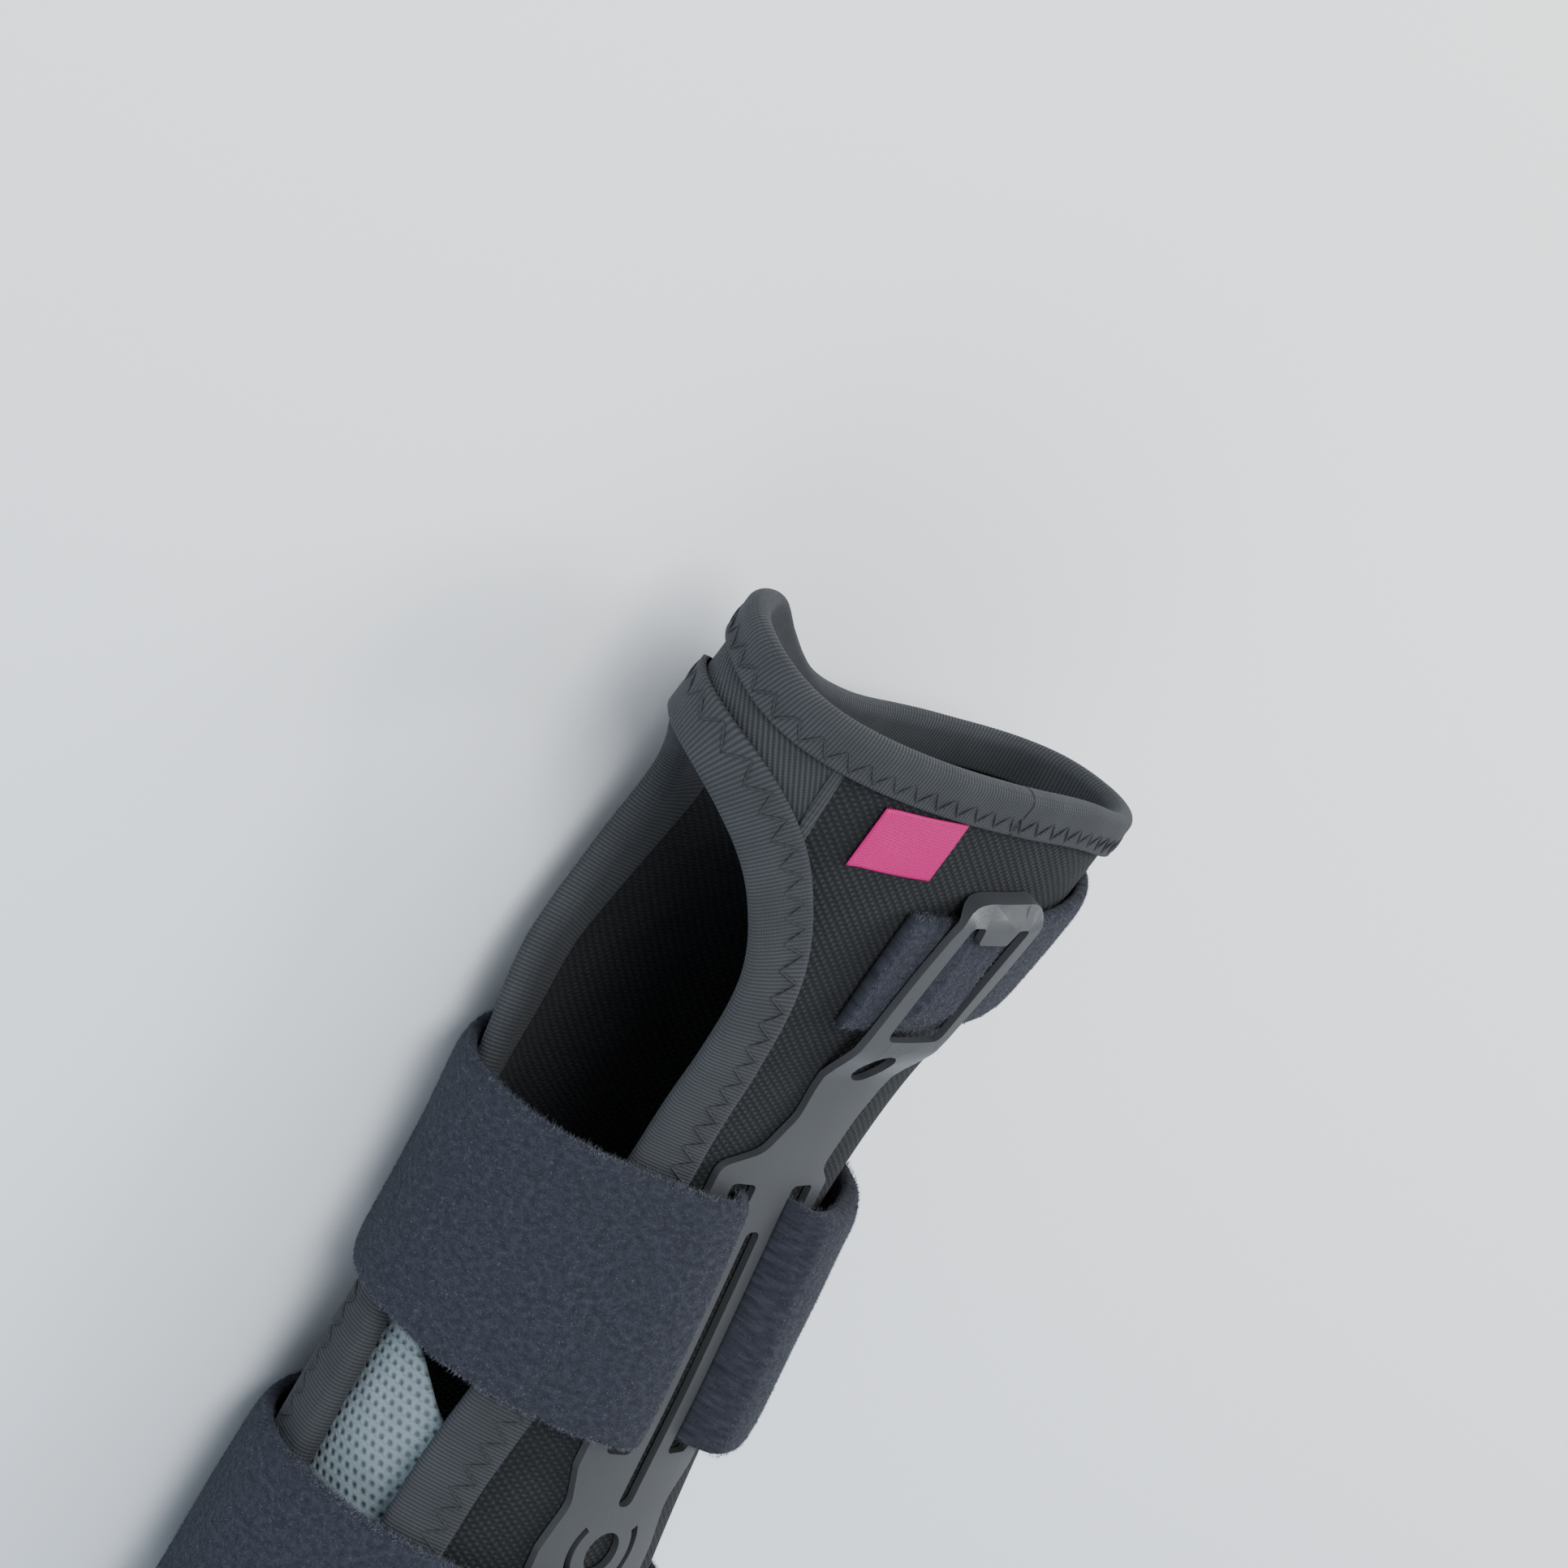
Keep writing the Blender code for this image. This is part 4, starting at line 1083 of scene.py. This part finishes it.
# The polymer: satin, with a fine moulded grain, a little lighter where it is worn
polymer, polymer_tree, polymer_shader = new_material("polymer", coat=0.05)
POLYMER_DARK = (0.031, 0.0335, 0.037, 1)
POLYMER_LIGHT = (0.043, 0.046, 0.050, 1)
polymer_place = place_in(polymer_tree)
grain = noise(polymer_tree, polymer_place, 2600.0, 3.0)
clouds = noise(polymer_tree, polymer_place, 60.0, 3.0)
polymer_colour = blend(polymer_tree, clouds, POLYMER_DARK, POLYMER_LIGHT)
polymer_rough = maths(polymer_tree, "ADD", maths(polymer_tree, "MULTIPLY", grain, 0.12), 0.36)
finish_material(polymer_tree, polymer_shader, polymer_colour, polymer_rough, grain, 0.00003)


def frame_rise(s):
    """How far the frame rises over the hand strap, and how much of that its wall fills again."""
    low = HAND_STRAP_STATION - HAND_STRAP_WIDTH / 2
    high = HAND_STRAP_STATION + HAND_STRAP_WIDTH / 2
    rise = (PLUSH + CLEARANCE) * ramp(s, low - RISE_START, low - RISE_CLEAR)
    return rise, rise * ramp(s, high + RISE_CLEAR, high + RISE_END)


plate = bmesh.new()
for line in [fillet(outline)] + holes:
    corners = [plate.verts.new((point[0], point[1], 0.0)) for point in line]
    for k, vertex in enumerate(corners):
        plate.edges.new((vertex, corners[(k + 1) % len(corners)]))
bmesh.ops.triangle_fill(plate, use_beauty=True, use_dissolve=False, edges=plate.edges[:])
bmesh.ops.recalc_face_normals(plate, faces=plate.faces)
if plate.faces[0].normal.z < 0:
    bmesh.ops.reverse_faces(plate, faces=plate.faces)
inset = bmesh.ops.inset_region(
    plate, faces=plate.faces[:], thickness=LIP_WIDTH, use_even_offset=True
)
ledge = set(inset["faces"])
raised = {vertex for face in plate.faces if face not in ledge for vertex in face.verts}
mark = plate.verts.layers.float.new("raised")
for vertex in plate.verts:
    vertex[mark] = 1.0 if vertex in raised else 0.0
cuts = [((value, 0, 0), (1, 0, 0)) for value in np.arange(frame_end, CUTS_END, CUT_STEP)]
cuts += [((0, value, 0), (0, 1, 0)) for value in np.arange(*CUT_SIDES, CUT_STEP)]
for place, across in cuts:
    bmesh.ops.bisect_plane(
        plate,
        geom=plate.verts[:] + plate.edges[:] + plate.faces[:],
        dist=1e-7,
        plane_co=place,
        plane_no=across,
    )
for vertex in plate.verts:
    vertex.co.z = LIP_SHARE + (1 - LIP_SHARE) * vertex[mark]
grown = bmesh.ops.extrude_face_region(plate, geom=plate.faces[:], use_keep_orig=True)
for item in grown["geom"]:
    if isinstance(item, bmesh.types.BMVert):
        item.co.z = 0.0
flat = np.array([vertex.co for vertex in plate.verts])
rise, filled = frame_rise(flat[:, 0])
under = CLOTH_OUTSIDE + CLEARANCE + rise - filled
heights = under + (POLYMER + filled) * flat[:, 2]
placed = on_arm(flat[:, 0], flat[:, 1] / girth(flat[:, 0], heights), heights)
for vertex, place in zip(plate.verts, placed):
    vertex.co = place
bmesh.ops.recalc_face_normals(plate, faces=plate.faces)
plate_mesh = bpy.data.meshes.new("frame_moulding")
plate.to_mesh(plate_mesh)
plate.free()
plate_mesh.shade_smooth()
plate_mesh.set_sharp_from_angle(angle=math.radians(35))
plate_mesh.materials.append(polymer)
moulding = linked("frame_moulding", plate_mesh)
show(moulding, "dorsal_frame", slot="polymer")

# The straps: velour plush on a foam core. The wrist and forearm straps go over the frame's rails
# and are sewn down in its slots; the hand strap passes under its window
STRAP_LIE = (
    # turn, slant, width
    (0.00, 0.00, 1.00),
    (0.12, 0.50, 0.98),
    (0.28, 1.00, 0.92),
    (0.50, 0.80, 0.94),
    (0.72, -0.50, 0.90),
    (0.88, -0.50, 0.93),
    (1.00, 0.00, 1.00),
)
LOOP_LOFT = 0.0016
ON_SHELL = CLOTH_OUTSIDE + CLEARANCE
OVER_TAPE = TAPE_OUTSIDE + CLEARANCE
OVER_RAIL = ON_SHELL + POLYMER + CLEARANCE
rail_end = SLOT_WIDTH - SEAM_INTO_SLOT
STRAP_END = np.array(
    (
        # run, under, top
        (0.0, ON_SHELL, ON_SHELL + 0.7 * PLUSH),
        (0.22 * rail_end, ON_SHELL, ON_SHELL + 1.6 * PLUSH),
        (0.50 * rail_end, ON_SHELL, OVER_RAIL + 0.9 * PLUSH),
        (rail_end - CLEARANCE, OVER_RAIL, OVER_RAIL + PLUSH),
        (rail_end + RAIL_WIDTH + 0.0010, OVER_RAIL, OVER_RAIL + PLUSH),
        (rail_end + RAIL_WIDTH + 0.0050, OVER_RAIL - 0.0006, OVER_RAIL - 0.0006 + PLUSH),
        (rail_end + RAIL_WIDTH + 0.0120, OVER_TAPE, OVER_TAPE + PLUSH),
    )
)
# The plush's colour follows its random tufts: painted highlight where they stand up and painted shade
# between them, from the same values that bump it
PLUSH_SHADED = (0.007, 0.008, 0.012)
PLUSH_LIT = (0.058, 0.064, 0.086)
plush, plush_tree, plush_shader = new_material("plush", sheen=0.04, specular=0.1)
plush_place = flat_uv(plush_tree)
tufts = noise(plush_tree, plush_place, 950.0, 5.0)
nap = noise(plush_tree, plush_place, 2600.0, 3.0)
clump = maths(plush_tree, "POWER", tufts, 2.2)
clump = maths(plush_tree, "ADD", clump, maths(plush_tree, "MULTIPLY", nap, 0.3))
plush_colour = blend(plush_tree, clump, (*PLUSH_SHADED, 1), (*PLUSH_LIT, 1))
finish_material(plush_tree, plush_shader, plush_colour, 0.95, clump, 0.0008)

# The nap's fibres, each a thin blade that leans its own way
fibre, fibre_tree, fibre_shader = new_material("fibre", specular=0.15)
FIBRE_DARK = (0.008, 0.009, 0.013, 1)
FIBRE_LIGHT = (0.230, 0.246, 0.305, 1)
fibre_share = maths(fibre_tree, "POWER", noise(fibre_tree, place_in(fibre_tree), 1900.0), 2.0)
fibre_colour = blend(fibre_tree, fibre_share, FIBRE_DARK, FIBRE_LIGHT)
finish_material(fibre_tree, fibre_shader, fibre_colour, 0.8)
FIBRE_LENGTH = 0.00062
FIBRE_WIDTH = 0.00011
FIBRE_ROOT = 0.00012
EDGE_FIBRES = 0.12
EDGE_SCATTER = 0.006


def fibres(name, pattern, count, seed, node_name):
    """Blades that stand on a strap's outer side, and past its cut edges."""
    draw = np.random.default_rng(seed)
    u, v = draw.random(count), draw.random(count)
    edge_share = int(count * EDGE_FIBRES)
    ends = np.where(draw.random(edge_share) < 0.5, 0.0, 1.0)
    v[:edge_share] = ends + draw.normal(0, EDGE_SCATTER, edge_share)
    v = np.clip(v, 0, 1)
    s, turn, under, top = pattern(u, v)
    size = girth(s)
    at_edge = np.arange(count) < edge_share
    top = np.where(at_edge, under + (top - under) * draw.random(count), top - FIBRE_ROOT)
    lean = draw.normal(0, 0.5, (count, 2)) * FIBRE_LENGTH
    outward = np.where(at_edge, np.where(v > 0.5, 1, -1) * FIBRE_LENGTH * 0.8, 0.0)
    lift = FIBRE_LENGTH * np.where(at_edge, 0.1, 0.25 + 0.45 * draw.random(count))
    angle = draw.random(count) * math.pi
    half = FIBRE_WIDTH / 2
    foot_a = on_arm(s + half * np.sin(angle), turn + half * np.cos(angle) / size, top)
    foot_b = on_arm(s - half * np.sin(angle), turn - half * np.cos(angle) / size, top)
    tip = on_arm(s + lean[:, 0] + outward, turn + lean[:, 1] / size, top + lift)
    points = np.stack([foot_a, foot_b, tip], 1).reshape(-1, 3)
    faces = np.arange(3 * count).reshape(-1, 3).tolist()
    made = mesh_object(name, points, faces, fibre, smooth_faces=False)
    show(made, node_name, slot="plush")


STRAP_ROUNDING = 0.0009
STRAP_WAVE = 0.00018
STRAP_WAVE_SIZE = 0.012
LOFT_REACH = 2.4


def strap_pattern(width, middle, slant, seed):
    runs = STRAP_END[:, 0]
    start = FRAME_MIDDLE + BAR_HALF_WIDTH + SEAM_INTO_SLOT
    end = FRAME_MIDDLE - BAR_HALF_WIDTH - SEAM_INTO_SLOT
    length = girth(middle, OVER_RAIL) + end - start

    def pattern(u, v):
        across = u * length
        run = np.minimum(across, length - across)
        under = np.interp(run, runs, STRAP_END[:, 1])
        top = smooth(runs, STRAP_END[:, 2], run)
        turn = (start + across) / girth(middle, OVER_RAIL)
        lies = [row[0] for row in STRAP_LIE]
        shift = smooth(lies, [row[1] for row in STRAP_LIE], turn % 1.0)
        spread = width * smooth(lies, [row[2] for row in STRAP_LIE], turn % 1.0)
        loft = ramp(run, runs[1], runs[3]) * (1 - ramp(run, runs[4], LOFT_REACH * runs[6]))
        top = top + np.where(u > 0.5, LOOP_LOFT * loft, 0.0)
        s = middle + shift * slant + (v - 0.5) * spread
        rounding = STRAP_ROUNDING * (np.abs(2 * v - 1) ** 14)
        uneven = STRAP_WAVE * waves(s, across, STRAP_WAVE_SIZE, seed)
        resting = ramp(np.abs(turn % 1.0 - 0.5), 0.10, 0.20)
        return s, turn, under, top - rounding + (uneven - 0.0001) * resting

    return pattern


wrist_pattern = strap_pattern(WRIST_STRAP_WIDTH, WRIST_STRAP_STATION, WRIST_STRAP_SLANT, 1)
wrist_strap = wall("wrist_strap_plush", 420, 60, wrist_pattern, plush)
show(wrist_strap, "wrist_strap", slot="plush")
fore_pattern = strap_pattern(FOREARM_STRAP_WIDTH, FOREARM_STRAP_STATION, FOREARM_STRAP_SLANT, 2)
forearm_strap = wall("forearm_strap_plush", 420, 60, fore_pattern, plush)
show(forearm_strap, "forearm_strap", slot="plush")

HAND_STRAP_FREE_END = 0.0084
HAND_STRAP_END_TURN = -0.50
HAND_STRAP_CROWN = 0.0011
HAND_STRAP_ROUNDING = 0.0008
WINDOW_MIDDLE = -0.62


def hand_strap_pattern(u, v):
    size = girth(HAND_STRAP_STATION, ON_SHELL)
    start = HAND_STRAP_FREE_END / size
    turn = start + u * (HAND_STRAP_END_TURN - start)
    s = HAND_STRAP_STATION + (v - 0.5) * HAND_STRAP_WIDTH
    off_middle = np.abs(turn * size - FRAME_MIDDLE - WINDOW_MIDDLE * frame_half)
    crown = HAND_STRAP_CROWN * (1 - ramp(off_middle, 0.0035, 0.0070))
    crown *= 1 - ramp(np.abs(v - 0.5), 0.22, 0.42)
    rounding = HAND_STRAP_ROUNDING * (np.abs(2 * v - 1) ** 10)
    return s, turn, ON_SHELL, ON_SHELL + crown + PLUSH - rounding


hand_strap = wall("hand_strap_plush", 260, 50, hand_strap_pattern, plush)
show(hand_strap, "hand_strap", slot="plush")

fibres("wrist_strap_nap", wrist_pattern, 110000, 11, "wrist_strap")
fibres("forearm_strap_nap", fore_pattern, 110000, 12, "forearm_strap")
fibres("hand_strap_nap", hand_strap_pattern, 40000, 13, "hand_strap")

# The stage: a pale floor and a soft studio sky, with one large light above and a rim light
FLOOR_SIZE = 12.0
floor_mesh = bpy.data.meshes.new("floor")
floor_shape = bmesh.new()
bmesh.ops.create_grid(floor_shape, x_segments=1, y_segments=1, size=FLOOR_SIZE / 2)
floor_shape.to_mesh(floor_mesh)
floor_shape.free()
floor = linked("floor", floor_mesh)
floor_look, floor_tree, floor_shader = new_material("floor")
# Painted light: the floor's colour runs from cool blue-grey to white towards the picture's upper right,
# a painted fall-off of light
FADE_LENGTH = 0.45
FADE_SHIFT = 0.45
FLOOR_COOL = (0.62, 0.72, 0.82, 1)
FLOOR_PALE = (1.0, 1.0, 1.0, 1)
picture_corner = np.array(laid) @ (right + upright)
fade_way = picture_corner[:2] / np.linalg.norm(picture_corner[:2])
fade = node(
    floor_tree,
    "ShaderNodeVectorMath",
    {0: place_in(floor_tree), 1: (*(fade_way / FADE_LENGTH), 0.0)},
    operation="DOT_PRODUCT",
)
faded = maths(floor_tree, "ADD", fade.outputs["Value"], FADE_SHIFT)
painted_light_share = node(floor_tree, "ShaderNodeClamp", {0: faded}).outputs[0]
floor_colour = blend(floor_tree, painted_light_share, FLOOR_COOL, FLOOR_PALE)
finish_material(floor_tree, floor_shader, floor_colour, 0.85)
floor_mesh.materials.append(floor_look)

world = bpy.data.worlds.new("studio")
world.use_nodes = True
SKY_COLOUR = (0.86, 0.92, 1.0, 1)
SKY_STRENGTH = 0.80
sky = world.node_tree.nodes["Background"].inputs
sky["Color"].default_value = SKY_COLOUR
sky["Strength"].default_value = SKY_STRENGTH
bpy.context.scene.world = world


def area_light(name, place, aim, size, power, colour):
    data = bpy.data.lights.new(name, "AREA")
    data.shape = "RECTANGLE"
    data.size, data.size_y = size
    data.energy = power
    data.color = colour
    made = linked(name, data)
    made.location = place
    made.rotation_euler = (Vector(aim) - Vector(place)).to_track_quat("-Z", "Y").to_euler()


LIGHTS = (
    # name, place, aim, size, power, colour
    ("key", (-0.9, 0.9, 1.5), (0, 0, 0.03), (0.9, 0.9), 34, (1.0, 0.99, 0.97)),
    ("fill", (-1.2, -0.8, 0.8), (0, 0, 0.03), (1.2, 1.2), 10, (0.93, 0.96, 1.0)),
    ("rim", (1.2, 0.6, 0.9), (0, 0, 0.04), (0.6, 0.9), 20, (1.0, 1.0, 1.0)),
)
for row in LIGHTS:
    area_light(*row)
